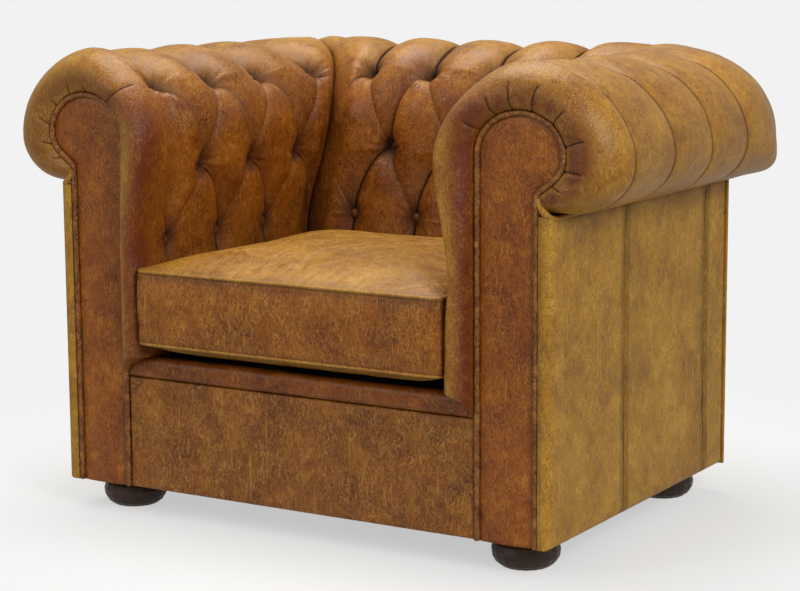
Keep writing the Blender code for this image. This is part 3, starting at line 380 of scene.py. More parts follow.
RADIUS = corner_radius(SKIN_X)
CORE_CUT = MITRE_CUT * corner_radius(CORE_X)
SEAM_X = CORE_X - CORE_CUT
SEAM_Y = CORE_BACK - CORE_CUT
along_x, along_z = np.gradient(SKIN_X), np.gradient(SKIN_Z)
size = np.hypot(along_x, along_z)
NORMAL_X, NORMAL_Z = -along_z / size, along_x / size


def shallow_low(level):
    """The lowest row of buttons sits in thinner padding, so it sinks less."""
    return LOW_ROW_SHARE + (1 - LOW_ROW_SHARE) * smooth_step(level, 0.0, 1.0)


ARCH_SHARE = 0.72             # 0 for a straight fold, 1 for a quarter of an ellipse
FOLD_LEAN = 0.66              # below 1 a fold is steeper on one side
FAINT = 0.42                  # depth of the straight folds against the arched ones


def fold_numbers(column, level):
    """Running numbers of the two families of folds; a fold lies where its number is whole.
    One family arches from each button to the next one down, the other runs straight."""
    inside = np.clip(level, 0, 2 - 1e-6)
    band = np.floor(inside)
    up = inside - band
    arch = (1 - ARCH_SHARE) * (1 - up) + ARCH_SHARE * np.sqrt(1 - up ** 2)
    arched = column - 0.5 * (1 - band) - 0.5 * arch
    straight = column + 0.5 * (1 - band) + 0.5 * (1 - up)
    return arched, straight


def fold_wave(place, lean=1.0):
    """A rounded swell between whole numbers that falls to 0 at each, steeper just below them."""
    part = np.ceil(place) - place
    return np.abs(np.sin(math.pi * part ** lean))


def quilt(column, level, near_end):
    """How far the buttoned leather lies below the envelope, and how deep in a fold it is, which the
    leather darkens as painted shade.
    """
    arched, straight = fold_numbers(column, level)
    above = np.clip(level - 2, 0, 4)
    lean = FOLD_LEAN + (1 - FOLD_LEAN) * smooth_step(above, 0.0, 0.6)
    sharp = 0.46 - 0.34 * smooth_step(above, 0.0, 1.8)
    puff_arched = np.maximum(fold_wave(arched, lean), 1e-9) ** sharp
    puff_straight = np.maximum(fold_wave(straight), 1e-9) ** (0.5 * sharp + 0.12)
    faint = FAINT * smooth_step(column, -0.02, 0.06)
    faint = faint + (1 - faint) * smooth_step(level, 1.85, 2.0)
    fade = 1 - smooth_step(above, 0.0, 2.6)
    depth = PLEAT_DEPTH + (TUFT_DEPTH - PLEAT_DEPTH) * fade
    diagonal = np.where((level > 0) & (level < 2), near_end, 1.0)
    hidden = (1 - puff_arched * (1 - faint * (1 - puff_straight))) * diagonal
    return depth * hidden * shallow_low(level), hidden * (0.25 + 0.75 * fade)


def line_strength(level, near_end):
    """How dark the painted shade lines in the folds are: full on the folds, softer over the roll."""
    rolled = 1 - 0.45 * smooth_step(level, 2.2, 4.0)
    return rolled * near_end * (1 - smooth_step(level, 5.2, 5.9))


def at_buttons(along, arc, spots):
    """Deep hollows at the buttons, with gathers that fan out above each, and the painted shade that
    darkens each.
    spots holds (place along the pad, arc length up the section, share of full depth)."""
    hollow = np.zeros(np.broadcast(along, arc).shape)
    wrinkle = np.zeros_like(hollow)
    pit_shade = np.zeros_like(hollow)
    for index, (place, up, share) in enumerate(spots):
        dx, dz = along - place, arc - up
        reach = np.hypot(dx, dz)
        hollow = hollow + share * BUTTON_SINK * np.exp(-(reach / BUTTON_DIMPLE) ** 2)
        angle = np.arctan2(dz, dx)
        near = np.exp(-((reach - 0.024) / 0.016) ** 2)
        uneven = 0.55 + 0.45 * np.sin(angle * 3 + index * 1.7)
        spokes = np.sin(angle * 13 + 2.1 * index + 30 * reach) + 0.6 * np.sin(angle * 21 + 1.3 * index)
        wrinkle = wrinkle + (0.35 + 0.65 * share) * 0.00115 * spokes * near * uneven
        soft = np.exp(-(reach / 0.016) ** 2) + 0.55 * np.exp(-(np.hypot(dx, dz - 0.014) / 0.019) ** 2)
        pit_shade = np.maximum(pit_shade, soft * (0.5 + 0.5 * share) * (1 + 0.25 * spokes * near))
    return hollow, wrinkle, np.clip(pit_shade, 0, 1)


def shift_corner(across, depth):
    """Move the upper part of the corner back and toward the middle, where the padding fills it."""
    seam_x = SKIN_X - MITRE_CUT * RADIUS
    seam_y = SKIN_BACK - MITRE_CUT * RADIUS
    rising = smooth_step(ROWS, ROW_MID, ROW_HIGH + 2.5)
    rising = rising * (1 - smooth_step(ROWS, LOWER_ROWS + 7, LOWER_ROWS + TOP_ROWS - 1))
    gap = np.hypot(np.abs(across) - seam_x[None], depth - seam_y[None])
    weight = rising[None] * np.exp(-(gap / CORNER_SPREAD) ** 2)
    return across - np.sign(across) * CORNER_INWARD * weight, depth + CORNER_BACKWARD * weight


def lumps_of(distance, arc, seeds):
    """Uneven stuffing: broad lumps and finer ones, each around zero."""
    broad = (hash_noise(distance * 16, arc * 16, seed=seeds[0]) - 0.5) * LUMP_HEIGHT
    return broad + (hash_noise(distance * 52, arc * 40, seed=seeds[1]) - 0.5) * FINE_LUMP_HEIGHT


def crease(gap_to_seam):
    """How a pad rolls off into the corner seam: deep inside, shallow on the outer side, with painted
    shade where it rolls in.
    """
    outer = smooth_step(ROWS, ROW_HIGH - 1, ROW_HIGH + 9)
    width = CREASE_WIDTH * (1 - 0.6 * outer)
    depth = CREASE_DEPTH * (1 - outer) + PLEAT_DEPTH * outer
    share = np.clip(1 - gap_to_seam / width, 0, 1)
    rolled = 1 - np.sqrt(np.clip(1 - share ** 2, 0, 1))
    return depth * rolled * ENDING, rolled * (1 - 0.6 * outer)


def corner_path(distance, run, radius):
    """Offsets forward and inward, and the turn of the normal, at a distance along a path that
    runs straight and then round 45 degrees of the corner."""
    straight = run - radius
    past = np.clip(distance - straight, 0, None)
    turn = np.where(radius > 1e-6, past / np.maximum(radius, 1e-6), 0.0)
    turn = np.clip(turn, 0, math.pi / 4)
    ahead = np.where(distance < straight, distance, straight + radius * np.sin(turn))
    return ahead, radius * (1 - np.cos(turn)), turn


def pleat_spacing(count, power=1.6):
    """Shares from 0 to 1 that crowd at both ends, where the pleats are."""
    share = np.linspace(-1, 1, count)
    return 0.5 + 0.5 * np.sign(share) * (1 - (1 - np.abs(share)) ** power)


print("rows of buttons at", round(ROW_LOW, 2), round(ROW_MID, 2), round(ROW_HIGH, 2))


# %% [markdown]
# The arm pad. Columns run back along the arm and close up at each pleat. At the front the skin
# turns over a rounded edge and runs in to the scroll facing, gathered in small radial tucks. Each
# point also stores how deep in a fold it lies, for painted shade, and how near the rubbed front edge it
# is, for burnish wear with a painted sheen. A sculpt could make one arm, but one function of the side
# gives both, with their own gathers.

# %% Arm pads
COLUMN_SHARES = pleat_spacing(46)
SEAM_SHARES = pleat_spacing(34, 1.35)
ARC_AT = {name: float(np.interp(row, ROWS, ARC)) for name, row in
          (("low", ROW_LOW), ("mid", ROW_MID), ("high", ROW_HIGH))}


def border_shape():
    """For each row: skin to crest, reach ahead of the facing plane, and depth of rounding."""
    outer = smooth_step(ROWS, LOWER_ROWS - 2, LOWER_ROWS + TOP_ROWS - 3)
    reach = np.hypot(CORE_X - SKIN_X, CORE_Z - SKIN_Z)
    crest = BORDER_CREST + (BORDER_CREST_OUTER - BORDER_CREST) * outer
    ahead = BORDER_REACH + (BORDER_REACH_OUTER - BORDER_REACH) * outer
    ahead = ahead * (0.4 + 0.6 * smooth_step(ROWS, 0, 1))
    ahead = ahead * (1 - 0.6 * smooth_step(ROWS, LAST_ROW - 3, LAST_ROW))
    rounding = BORDER_ROUND + (BORDER_ROUND_OUTER - BORDER_ROUND) * outer
    return np.minimum(crest, 0.62 * reach), ahead, rounding


# By side: the row of each tuck, how far it reaches toward the crest, and how much it curves
GATHER_ROWS = {1: (13.3, 15.4, 17.0, 18.7, 20.9, 23.2, 25.6, 28.4),
               -1: (14.45, 17.4, 19.3, 21.4, 23.6, 25.8, 28.4)}
GATHER_LENGTHS = {1: (0.75, 1.25, 1.75, 1.70, 1.20, 1.25, 1.05, 0.75),
                  -1: (2.5, 0.40, 0.70, 0.55, 0.80, 0.60, 0.50)}
GATHER_CURVE = {1: 0.24, -1: 0.0}
# Burnish wear on each arm, which also paints a sheen along the border and shade near the piping
WEAR_AND_SHEEN = {1: (0.80, 0.17, 1.0, 0.47), -1: (0.28, 0.22, 0.6, 0.70)}


def gathers(side, inward):
    """Small tucks round the scroll's head: their running number by row, which is whole in each,
    and how strong they are at a share of the way from the piping to the crest."""
    rows, lengths = GATHER_ROWS[side], GATHER_LENGTHS[side]
    number = np.interp(ROWS, (rows[0] - 1.6,) + rows + (rows[-1] + 1.6,),
                       np.linspace(-1, len(rows), len(rows) + 2))
    number = number - GATHER_CURVE[side] * np.minimum(inward, 1.6)
    length = np.array(lengths)[np.clip(np.round(number), 0, len(rows) - 1).astype(int)]
    number = np.clip(number, -0.5, len(rows) - 0.5)
    return number, smooth_step(length - inward, -0.05, 0.30)


LIP_SEAM_Z = BORDER_HIGH[2] + 0.0004
LIP_RISE, LIP_TAPER = 0.0325, 0.036
HEAD_ROWS = smooth_step(ROWS, LOWER_ROWS + 0.5, LOWER_ROWS + 4.0)
SUNNY = smooth_step(ROWS, LOWER_ROWS + 1.5, LOWER_ROWS + 7.5)


def lip_top(across):
    """Height of the seat lip's top: it tapers to its seam at both ends, where the pads meet it."""
    into_end = np.clip(1 - (CORE_X[0] - np.abs(across)) / LIP_TAPER, 0, 1)
    return LIP_SEAM_Z + LIP_RISE * np.sqrt(1 - into_end ** 2)


def seam_strip(first, second):
    """Triangles between two chains of points of the same length."""
    first, second = np.asarray(first), np.asarray(second)
    one = np.stack([first[:-1], first[1:], second[:-1]], 1)
    two = np.stack([first[1:], second[1:], second[:-1]], 1)
    return np.vstack([one, two]).tolist()


def arm_pad(side, name):
    """One arm's buttoned pad, with the world places of its buttons and their directions."""
    buttons = [ARM_BUTTON_FIRST + ARM_BUTTON_PITCH * i for i in range(4)]
    front = FRONT_SKIN
    third = buttons[2]
    total = SKIN_BACK - RADIUS + RADIUS * math.pi / 4
    fourth = np.minimum(buttons[3], third + LAST_PLEAT_SHARE * (total - third))
    columns = [np.full(ROW_COUNT, place) for place in np.linspace(front, buttons[0], 12)[:-1]]
    for start in buttons[:2]:
        columns += [np.full(ROW_COUNT, start + ARM_BUTTON_PITCH * share)
                    for share in COLUMN_SHARES[:-1]]
    columns += [third + (fourth - third) * share for share in COLUMN_SHARES[:-1]]
    columns += [fourth + (total - fourth) * share for share in SEAM_SHARES]
    distance = np.array(columns)
    ahead, inward, turn = corner_path(distance, SKIN_BACK[None], RADIUS[None])
    to_seam = total[None] - distance

    column = (distance - buttons[0]) / ARM_BUTTON_PITCH
    closed_up = np.minimum(2 + (distance - third) / (fourth - third)[None], 3)
    column = np.where(distance > third, closed_up, column)
    beyond = 3 + (distance - fourth[None]) / ARM_BUTTON_PITCH
    column = np.where(distance > fourth[None], beyond, column)
    near_end = smooth_step(column, -0.42, -0.02) * (1 - smooth_step(column, 3.0, 3.35))
    level = np.broadcast_to(LEVELS, distance.shape)
    arc = np.broadcast_to(ARC, distance.shape)
    sink, fold = quilt(column, level, near_end)
    ends = smooth_step(column, -0.16, 0.03) * (1 - 0.75 * smooth_step(column, 3.1, 3.3))
    sink, fold = sink * ends, fold * ends
    # The front fold runs forward from the first button to the piping, along one row
    lead = (ROWS - GATHER_ROWS[-1][0])[None]
    forward_fold = 1 - smooth_step(column, -0.06, 0.03)
    near = np.exp(-(lead / 0.16) ** 2) * forward_fold
    sink = sink + FRONT_FOLD_DEPTH * near
    fourth_mid = float(np.interp(ROW_MID, ROWS, fourth))
    spots = [(place, ARC_AT["high"], 1.0) for place in buttons]
    spots += [(place + ARM_BUTTON_PITCH / 2, ARC_AT["mid"], 1.0) for place in buttons[:2]]
    spots += [((third + fourth_mid) / 2, ARC_AT["mid"], 1.0)]
    spots += [(place, ARC_AT["low"], LOW_ROW_SHARE) for place in buttons[:3]]
    hollow, wrinkle, pit_shade = at_buttons(distance, arc, spots)
    keep = smooth_step(to_seam, 0.0, 0.022)
    sink = (sink + hollow) * keep
    rolled, rolled_fold = crease(to_seam)
    sink = (sink + rolled) * ENDING[None]
    lumps = lumps_of(distance, arc, (3 + side, 8 + side))
    sink = sink + (lumps * keep + wrinkle) * ENDING[None]
    fold = np.clip(fold * keep + rolled_fold, 0, 1)
    arched, straight = fold_numbers(column, level)
    drawn = line_strength(level, ends) * keep * smooth_step(column, -0.05, 0.03)

    out_x = NORMAL_X[None] * np.cos(turn)
    out_y = NORMAL_X[None] * np.sin(turn)
    seam = 1 - smooth_step(to_seam, 0.0, 0.03)
    half = NORMAL_X[None] * math.sqrt(0.5)
    out_x = out_x * (1 - seam) + half * seam
    out_y = out_y * (1 - seam) + half * seam
    # The front border is a full roll: the skin starts to round over, turns forward to a crest
    # ahead of the facing and runs in to the piping
    inset_x, inset_z = CORE_X - SKIN_X, CORE_Z - SKIN_Z
    reach = np.maximum(np.hypot(inset_x, inset_z), 1e-6)
    crest, forward_reach, rounding = border_shape()
    early = np.clip((rounding - forward_reach - distance) / rounding, 0, 1)
    edge = crest * (1 - np.sqrt(1 - early ** 2))
    x = SKIN_X[None] - inward - out_x * sink + inset_x / reach * edge
    y = ahead - out_y * sink
    z = SKIN_Z[None] - NORMAL_Z[None] * sink + inset_z / reach * edge
    y[-1] -= CLEARANCE
    x, y = shift_corner(x, y)
    # Ahead of the first button the head is flatter toward the seat and fuller on top
    flatter = HEAD_FLATTER * smooth_step(ROWS, 2, 9.5) * (1 - smooth_step(ROWS, 15, 19.5))
    taller = HEAD_TALLER * np.exp(-((ROWS - 18.5) / 3.2) ** 2)
    settled = np.interp(ROWS, (ROW_LOW, ROW_MID, ROW_HIGH), (-0.02, 0.42, -0.02))
    at_front = 1 - smooth_step(column, column[0, 0], settled[None])
    x = x + flatter * at_front
    z = z + taller * at_front

    begin = np.arcsin(np.clip((rounding - forward_reach - front) / rounding, 0, 1))
    rings = []
    for share in np.linspace(0, 1, 19)[1:]:
        angle = begin + (math.pi / 2 - begin) * share
        inset = crest * (1 - np.cos(angle))
        rings.append((inset / reach, rounding - forward_reach - rounding * np.sin(angle), share * 0.5))
    for share in np.linspace(0, 1, 17)[1:]:
        outward = math.sin(share * math.pi / 2)
        inset = (crest + (reach - crest) * outward) / reach
        rings.append((inset, -forward_reach * math.sqrt(1 - outward ** 2), 0.5 + share * 0.5))
    ring_x, ring_y, ring_z, ring_burnish_sheen, ring_gold, ring_lead, ring_fold = [], [], [], [], [], [], []
    ring_number = []
    # The two arms are worn in different places, and the burnish also carries a painted purple sheen
    # along the border and painted shade near the piping: how far from skin to piping, and how strongly
    burnish_sheen_at, burnish_sheen_width, head_burnish_sheen, gold_at = WEAR_AND_SHEEN[side]
    lower_end = smooth_step(ROWS, 0.0, 3.2)
    for inset_share, depth, travel in rings:
        inward = (1 - inset_share) * reach / np.maximum(reach - crest, 1e-6)
        inward = inward + 2.0 * max(0.0, 0.42 - travel)
        lead_number, strength = gathers(side, inward)
        ring_number.append(lead_number)
        away = np.abs(lead_number - np.round(lead_number))
        tuck = np.exp(-(away / 0.075) ** 2) * strength
        swell = hash_noise(ROWS * 0.8, np.full(ROW_COUNT, travel * 3.0), seed=11 + side) - 0.5
        swell = BORDER_SWELL * swell * math.sin(math.pi * travel)
        pull = tuck * TUCK_DEPTH * min(1.0, 0.25 + 1.5 * travel) + swell
        along_x = SKIN_X + inset_x * inset_share
        ring_x.append(along_x + flatter * (1 - inset_share))
        along_z = SKIN_Z + inset_z * inset_share + taller * (1 - inset_share)
        ring_z.append(lip_top(along_x) * (1 - lower_end) + along_z * lower_end)
        ring_y.append(depth + pull)
        # Painted shade in the valley next to the piping
        ring_fold.append(np.full(ROW_COUNT, 0.5 * smooth_step(travel, 0.93, 1.0)))
        beside_seat = math.exp(-((travel - burnish_sheen_at) / burnish_sheen_width) ** 2)
        on_head = head_burnish_sheen * math.exp(-((travel - 0.60) / 0.27) ** 2)
        ring_burnish_sheen.append(beside_seat * (1 - HEAD_ROWS) + on_head * HEAD_ROWS)
        ring_gold.append(math.exp(-((travel - gold_at) / 0.15) ** 2) * (1 - HEAD_ROWS))
        ring_lead.append(strength)
    x = np.vstack([np.array(ring_x)[::-1], x])
    y = np.vstack([np.array(ring_y)[::-1], y])
    z = np.vstack([np.array(ring_z)[::-1], z])
    z[:, -1] = ROLL_UNDERSIDE_Z
    z[0, -1] = CORE_Z[-1]
    ring_count = len(rings)
    fold = np.vstack([np.array(ring_fold)[::-1], fold])
    # A painted purple sheen just behind the front edge of the skin
    skin_burnish_sheen = 0.35 * np.exp(-((distance - front) / 0.024) ** 2) * (1 - HEAD_ROWS)[None]
    burnish_and_sheen = np.vstack([np.array(ring_burnish_sheen)[::-1], skin_burnish_sheen])
    blank = np.zeros((ring_count, ROW_COUNT))
    # The first front fold on the left arm also gets its dark line of painted shade
    first_fold = forward_fold * (np.abs(lead_number) < 0.5)[None] * (side < 0)
    layers = {
        "fold": fold, "burnish_and_sheen": burnish_and_sheen, "pit_shade": np.vstack([blank, pit_shade]),
        "arched": np.vstack([blank, arched]), "straight": np.vstack([blank, straight]),
        "drawn": np.vstack([blank, drawn]),
        "gather": np.vstack([np.array(ring_number)[::-1],
                             np.broadcast_to(lead_number, distance.shape)]),
        "gathered": np.vstack([np.array(ring_lead)[::-1], first_fold]),
        "sunny": np.maximum(SUNNY[None], np.vstack([np.array(ring_gold)[::-1], 0 * distance]))}

    count = len(x)
    points = np.stack([x, y, z], -1).reshape(-1, 3)
    chain = np.stack([SEAM_X, SEAM_Y - CLEARANCE, CORE_Z], 1)
    base = len(points)
    points = np.vstack([points, chain])
    rear = np.arange(base, base + ROW_COUNT)
    last = (count - 1) * ROW_COUNT + np.arange(ROW_COUNT)
    faces = grid_quads(count, ROW_COUNT).tolist()
    faces += seam_strip(np.arange(ROW_COUNT), rear) + seam_strip(rear, last)
    faces.append([i * ROW_COUNT for i in range(count)] + [rear[0]])
    faces.append([i * ROW_COUNT + ROW_COUNT - 1 for i in range(count)] + [rear[-1]])
    points = points * np.array([side, 1, 1]) + np.array([0, FACE_Y, 0])
    piece = new_object(name, points, faces)
    turn_outward(piece)
    for label, values in layers.items():
        set_attribute(piece, label, np.concatenate([values.ravel(), np.zeros(ROW_COUNT)]))
    placed = []
    for place, up, share in spots:
        row = float(np.interp(up, ARC, ROWS))
        at = [float(np.interp(row, ROWS, values)) for values in (SKIN_X, SKIN_Z, NORMAL_X, NORMAL_Z)]
        deep = share * (BUTTON_SINK + TUFT_DEPTH) - 0.002
        centre = Vector((side * (at[0] - at[2] * deep), FACE_Y + place, at[1] - at[3] * deep))
        placed.append((centre, Vector((side * at[2], 0.0, at[3])).normalized()))
    return piece, placed


arm_right, buttons_right = arm_pad(1, "arm_pad_right_leather")
arm_left, buttons_left = arm_pad(-1, "arm_pad_left_leather")
print("arm pad points:", len(arm_right.data.vertices))

# %% [markdown]
# The back pad follows the same section with its own depths, from corner seam to corner seam. It
# could be a copy of an arm, but its own run of columns puts its buttons where the photograph has
# them and lets its folds lean the other way.

# %% Back pad
def back_pad(name):
    """The buttoned back between the corner seams, with the places of its buttons."""
    buttons = [BACK_BUTTON_PITCH * (i - 1.5) for i in range(4)]
    last = buttons[-1]
    total = SKIN_X - RADIUS + RADIUS * math.pi / 4
    right = [last + (total - last) * share for share in SEAM_SHARES]
    left = [-place for place in right[::-1]]
    middle = []
    for start in buttons[:3]:
        middle += [np.full(ROW_COUNT, start + BACK_BUTTON_PITCH * share)
                   for share in COLUMN_SHARES[:-1]]
    distance = np.array(left[:-1] + middle + right)
    across, inward, turn = corner_path(np.abs(distance), SKIN_X[None], RADIUS[None])
    sign = np.sign(distance)
    to_seam = total[None] - np.abs(distance)

    column = 3 - (distance - buttons[0]) / BACK_BUTTON_PITCH
    level = np.broadcast_to(LEVELS, distance.shape)
    arc = np.broadcast_to(ARC, distance.shape)
    near_end = smooth_step(column, -0.4, -0.02) * (1 - smooth_step(column, 3.02, 3.4))
    edge = smooth_step(column, -0.42, -0.12) * (1 - smooth_step(column, 3.12, 3.42))
    sink, fold = quilt(column, level, near_end)
    sink, fold = sink * (0.25 + 0.75 * edge), fold * (0.25 + 0.75 * edge)
    spots = [(place, ARC_AT["high"], 1.0) for place in buttons]
    spots += [(place + BACK_BUTTON_PITCH / 2, ARC_AT["mid"], 1.0) for place in buttons[:3]]
    spots += [(place, ARC_AT["low"], LOW_ROW_SHARE) for place in buttons]
    hollow, wrinkle, pit_shade = at_buttons(distance, arc, spots)
    keep = smooth_step(to_seam, 0.0, 0.022)
    rolled, rolled_fold = crease(to_seam)
    sink = ((sink + hollow) * keep + rolled) * ENDING[None]
    arched, straight = fold_numbers(column, level)
    drawn = line_strength(level, edge) * keep
    lumps = lumps_of(distance, arc, (9, 19))
    sink = sink + (lumps * keep + wrinkle) * ENDING[None]
    fold = np.clip(fold * keep + rolled_fold, 0, 1)

    out_y = NORMAL_X[None] * np.cos(turn)
    out_x = NORMAL_X[None] * np.sin(turn)
    seam = 1 - smooth_step(to_seam, 0.0, 0.03)
    half = NORMAL_X[None] * math.sqrt(0.5)
    out_x = out_x * (1 - seam) + half * seam
    out_y = out_y * (1 - seam) + half * seam
    x = sign * (across - out_x * sink)
    y = SKIN_BACK[None] - inward - out_y * sink
    z = SKIN_Z[None] - NORMAL_Z[None] * sink
    y[0] += CLEARANCE
    y[-1] += CLEARANCE
    x, y = shift_corner(x, y)
    z[:, -1] = ROLL_UNDERSIDE_Z

    count = len(x)
    points = np.stack([x, y, z], -1).reshape(-1, 3)
    base = len(points)
    for side in (-1, 1):
        chain = np.stack([side * SEAM_X, SEAM_Y + CLEARANCE, CORE_Z], 1)
        points = np.vstack([points, chain])
    left_chain = np.arange(base, base + ROW_COUNT)
    right_chain = left_chain + ROW_COUNT
    first_column = np.arange(ROW_COUNT)
    last_column = (count - 1) * ROW_COUNT + first_column
    faces = grid_quads(count, ROW_COUNT).tolist()
    faces += seam_strip(left_chain, right_chain)
    faces += seam_strip(left_chain, first_column) + seam_strip(right_chain, last_column)
    for row in (0, ROW_COUNT - 1):
        faces.append([i * ROW_COUNT + row for i in range(count)] + [right_chain[row], left_chain[row]])
    points = points + np.array([0, FACE_Y, 0])
    piece = new_object(name, points, faces)
    turn_outward(piece)
    layers = {"fold": fold, "pit_shade": pit_shade, "arched": arched, "straight": straight, "drawn": drawn,
              "sunny": np.broadcast_to(SUNNY, x.shape)}
    for label, values in layers.items():
        set_attribute(piece, label, np.concatenate([values.ravel(), np.zeros(2 * ROW_COUNT)]))
    placed = []
    for place, up, share in spots:
        row = float(np.interp(up, ARC, ROWS))
        depth = float(np.interp(row, ROWS, SKIN_BACK))
        at = [float(np.interp(row, ROWS, values)) for values in (SKIN_Z, NORMAL_X, NORMAL_Z)]
        deep = share * (BUTTON_SINK + TUFT_DEPTH) - 0.002
        centre = Vector((place, FACE_Y + depth - at[1] * deep, at[0] - at[2] * deep))
        placed.append((centre, Vector((0.0, at[1], at[2])).normalized()))
    return piece, placed


back_leather, buttons_back = back_pad("back_pad_leather")
print("back pad points:", len(back_leather.data.vertices))

# %% [markdown]
# Covered buttons: a low dome of the same leather with a tucked rim, one at the bottom of every
# hollow, facing along the pad's own direction there. A sphere cut in half would do from afar; the
# profile turned round an axis keeps the rim curled under, as a covered button has it.

# %% Buttons
BUTTON_RADIUS = 0.0088
BUTTON_DOME = 0.0052
BUTTON_SIDES = 24


def button_points(centre, facing):
    """A dome: height falls with a power of the radius, and the rim curls under."""
    share = np.linspace(0.12, 1, 9)
    radius = np.concatenate([BUTTON_RADIUS * share, [BUTTON_RADIUS * 0.94, BUTTON_RADIUS * 0.75]])
    height = np.concatenate([BUTTON_DOME * (1 - share ** 2.4) ** 0.7, [-0.0014, -0.0024]])
    turn = facing.to_track_quat("Z", "Y").to_matrix()
    angle = np.linspace(0, 2 * math.pi, BUTTON_SIDES, endpoint=False)
    ring = np.stack([radius[:, None] * np.cos(angle), radius[:, None] * np.sin(angle),
                     np.broadcast_to(height[:, None], (len(radius), BUTTON_SIDES))], -1).reshape(-1, 3)
    local = np.vstack([ring, [[0, 0, BUTTON_DOME], [0, 0, -0.0024]]])
    faces = grid_quads(len(radius), BUTTON_SIDES, wrap_rows=True).tolist()
    top, under = len(ring), len(ring) + 1
    lowest = (len(radius) - 1) * BUTTON_SIDES
    for k in range(BUTTON_SIDES):
        after = (k + 1) % BUTTON_SIDES
        faces.append([top, k, after])
        faces.append([under, lowest + after, lowest + k])
    return local @ np.array(turn).T + np.array(centre), faces


def button_set(name, places):
    """All the buttons of one pad as one piece."""
    points, faces = [], []
    for centre, facing in places:
        start = sum(len(block) for block in points)
        block, quads = button_points(centre, facing)
        points.append(block)
        faces += [[start + index for index in face] for face in quads]
    piece = new_object(name, np.vstack(points), faces)
    turn_outward(piece)
    return piece


set_right = button_set("buttons_arm_right", buttons_right)
set_left = button_set("buttons_arm_left", buttons_left)
set_back = button_set("buttons_back", buttons_back)
for buttons_piece in (set_right, set_left, set_back):
    # The buttons take painted shade too, as they sit at the bottom of the hollows
    set_attribute(buttons_piece, "pit_shade", np.full(len(buttons_piece.data.vertices), 0.55))
print("buttons:", len(buttons_right) + len(buttons_left) + len(buttons_back))

# %% [markdown]
# Flat leather panels are closed solids between a front and a back grid. The front grid is rounded
# over at its edges, swells a little between its seams, and dips along each seam line. A plain box
# with a bevel would be simpler, but stretched leather is never quite flat.

# %% Panels
def solid_between(name, front, back):
    """A closed solid from two grids of the same shape, joined round their borders."""
    columns, rows = front.shape[:2]
    half = columns * rows
    quads = grid_quads(columns, rows)
    faces = quads.tolist() + (quads[:, ::-1] + half).tolist()
    ring = [i * rows for i in range(columns)]
    ring += [(columns - 1) * rows + j for j in range(1, rows)]
    ring += [i * rows + rows - 1 for i in range(columns - 2, -1, -1)]
    ring += [j for j in range(rows - 2, 0, -1)]
    for first, second in zip(ring, ring[1:] + ring[:1]):
        faces.append([first, second, second + half, first + half])
    piece = new_object(name, np.vstack([front.reshape(-1, 3), back.reshape(-1, 3)]), faces)
    turn_outward(piece)
    return piece


def edge_spacing(length, step, edge):
    """Places from 0 to length, closer together within edge of both ends."""
    inner = np.linspace(edge, length - edge, max(int((length - 2 * edge) / step), 4))
    bend = edge * (1 - np.cos(np.linspace(0, math.pi / 2, 7)[:-1]))
    return np.concatenate([bend, inner, (length - bend)[::-1]])


def flat_panel(name, corner, along, up, out, width, height, thickness, edge, shape):
    """A panel from its lower corner. shape(u, v) gives the swell at each place in metres."""
    u = edge_spacing(width, 0.004, edge)
    v = edge_spacing(height, 0.004, edge)
    u, v = np.meshgrid(u, v, indexing="ij")
    near = np.minimum(np.minimum(u, width - u), np.minimum(v, height - v))
    short = np.clip(edge - near, 0, edge)
    drop = edge - np.sqrt(np.clip(edge ** 2 - short ** 2, 0, None))
    swell = shape(u, v) * smooth_step(near, 0, 2.2 * edge)
    along, up, out = (np.array(axis, float) for axis in (along, up, out))
    flat = np.array(corner, float) + u[..., None] * along + v[..., None] * up
    front = flat + (thickness - drop + swell)[..., None] * out
    return solid_between(name, front, flat)


SIDE_SEAMS = (0.231, 0.515)
LINE_UNIT, LINE_PLACE = 0.050, 0.010


def outside_swell(seed):
    """Soft swelling of the outer side, with two sewn seams and a little pucker beside them."""
    def shape(u, v):
        soft = (hash_noise(u * 7, v * 5, seed=seed) - 0.5) * 0.0030
        fine = (hash_noise(u * 26, v * 11, seed=seed + 1) - 0.5) * 0.0007
        total = soft + fine
        for place in SIDE_SEAMS:
            gap = u - place - 0.0015 * np.sin(v * 9 + seed)
            total = total - 0.0026 * np.exp(-(gap / 0.0022) ** 2)
            total = total + 0.0011 * np.exp(-((gap - 0.0065) / 0.0045) ** 2)
        under = np.exp(-((v - (PANEL_HIGH[2] - PANEL_LOW[2])) / 0.035) ** 2)
        return total + 0.0012 * under * np.sin(u * 70 + 3 * np.sin(u * 17))
    return shape


panel_depth = PANEL_HIGH[1] - PANEL_LOW[1]
panel_height = PANEL_HIGH[2] - PANEL_LOW[2]
panel_thickness = PANEL_HIGH[0] - PANEL_LOW[0]
outside_right = flat_panel("outside_arm_right_leather", (PANEL_LOW[0], PANEL_LOW[1], PANEL_LOW[2]),
                           (0, 1, 0), (0, 0, 1), (1, 0, 0), panel_depth, panel_height,
                           panel_thickness, 0.011, outside_swell(21))
outside_left = flat_panel("outside_arm_left_leather", (-PANEL_LOW[0], PANEL_LOW[1], PANEL_LOW[2]),
                          (0, 1, 0), (0, 0, 1), (-1, 0, 0), panel_depth, panel_height,
                          panel_thickness, 0.011, outside_swell(27))
outside_back = flat_panel("outside_back_leather", (BACK_LOW[0], BACK_LOW[1], BACK_LOW[2]),
                          (1, 0, 0), (0, 0, 1), (0, 1, 0), BACK_HIGH[0] - BACK_LOW[0],
                          BACK_HIGH[2] - BACK_LOW[2], BACK_HIGH[1] - BACK_LOW[1], 0.006,
                          lambda u, v: (hash_noise(u * 6, v * 5, seed=31) - 0.5) * 0.0035)
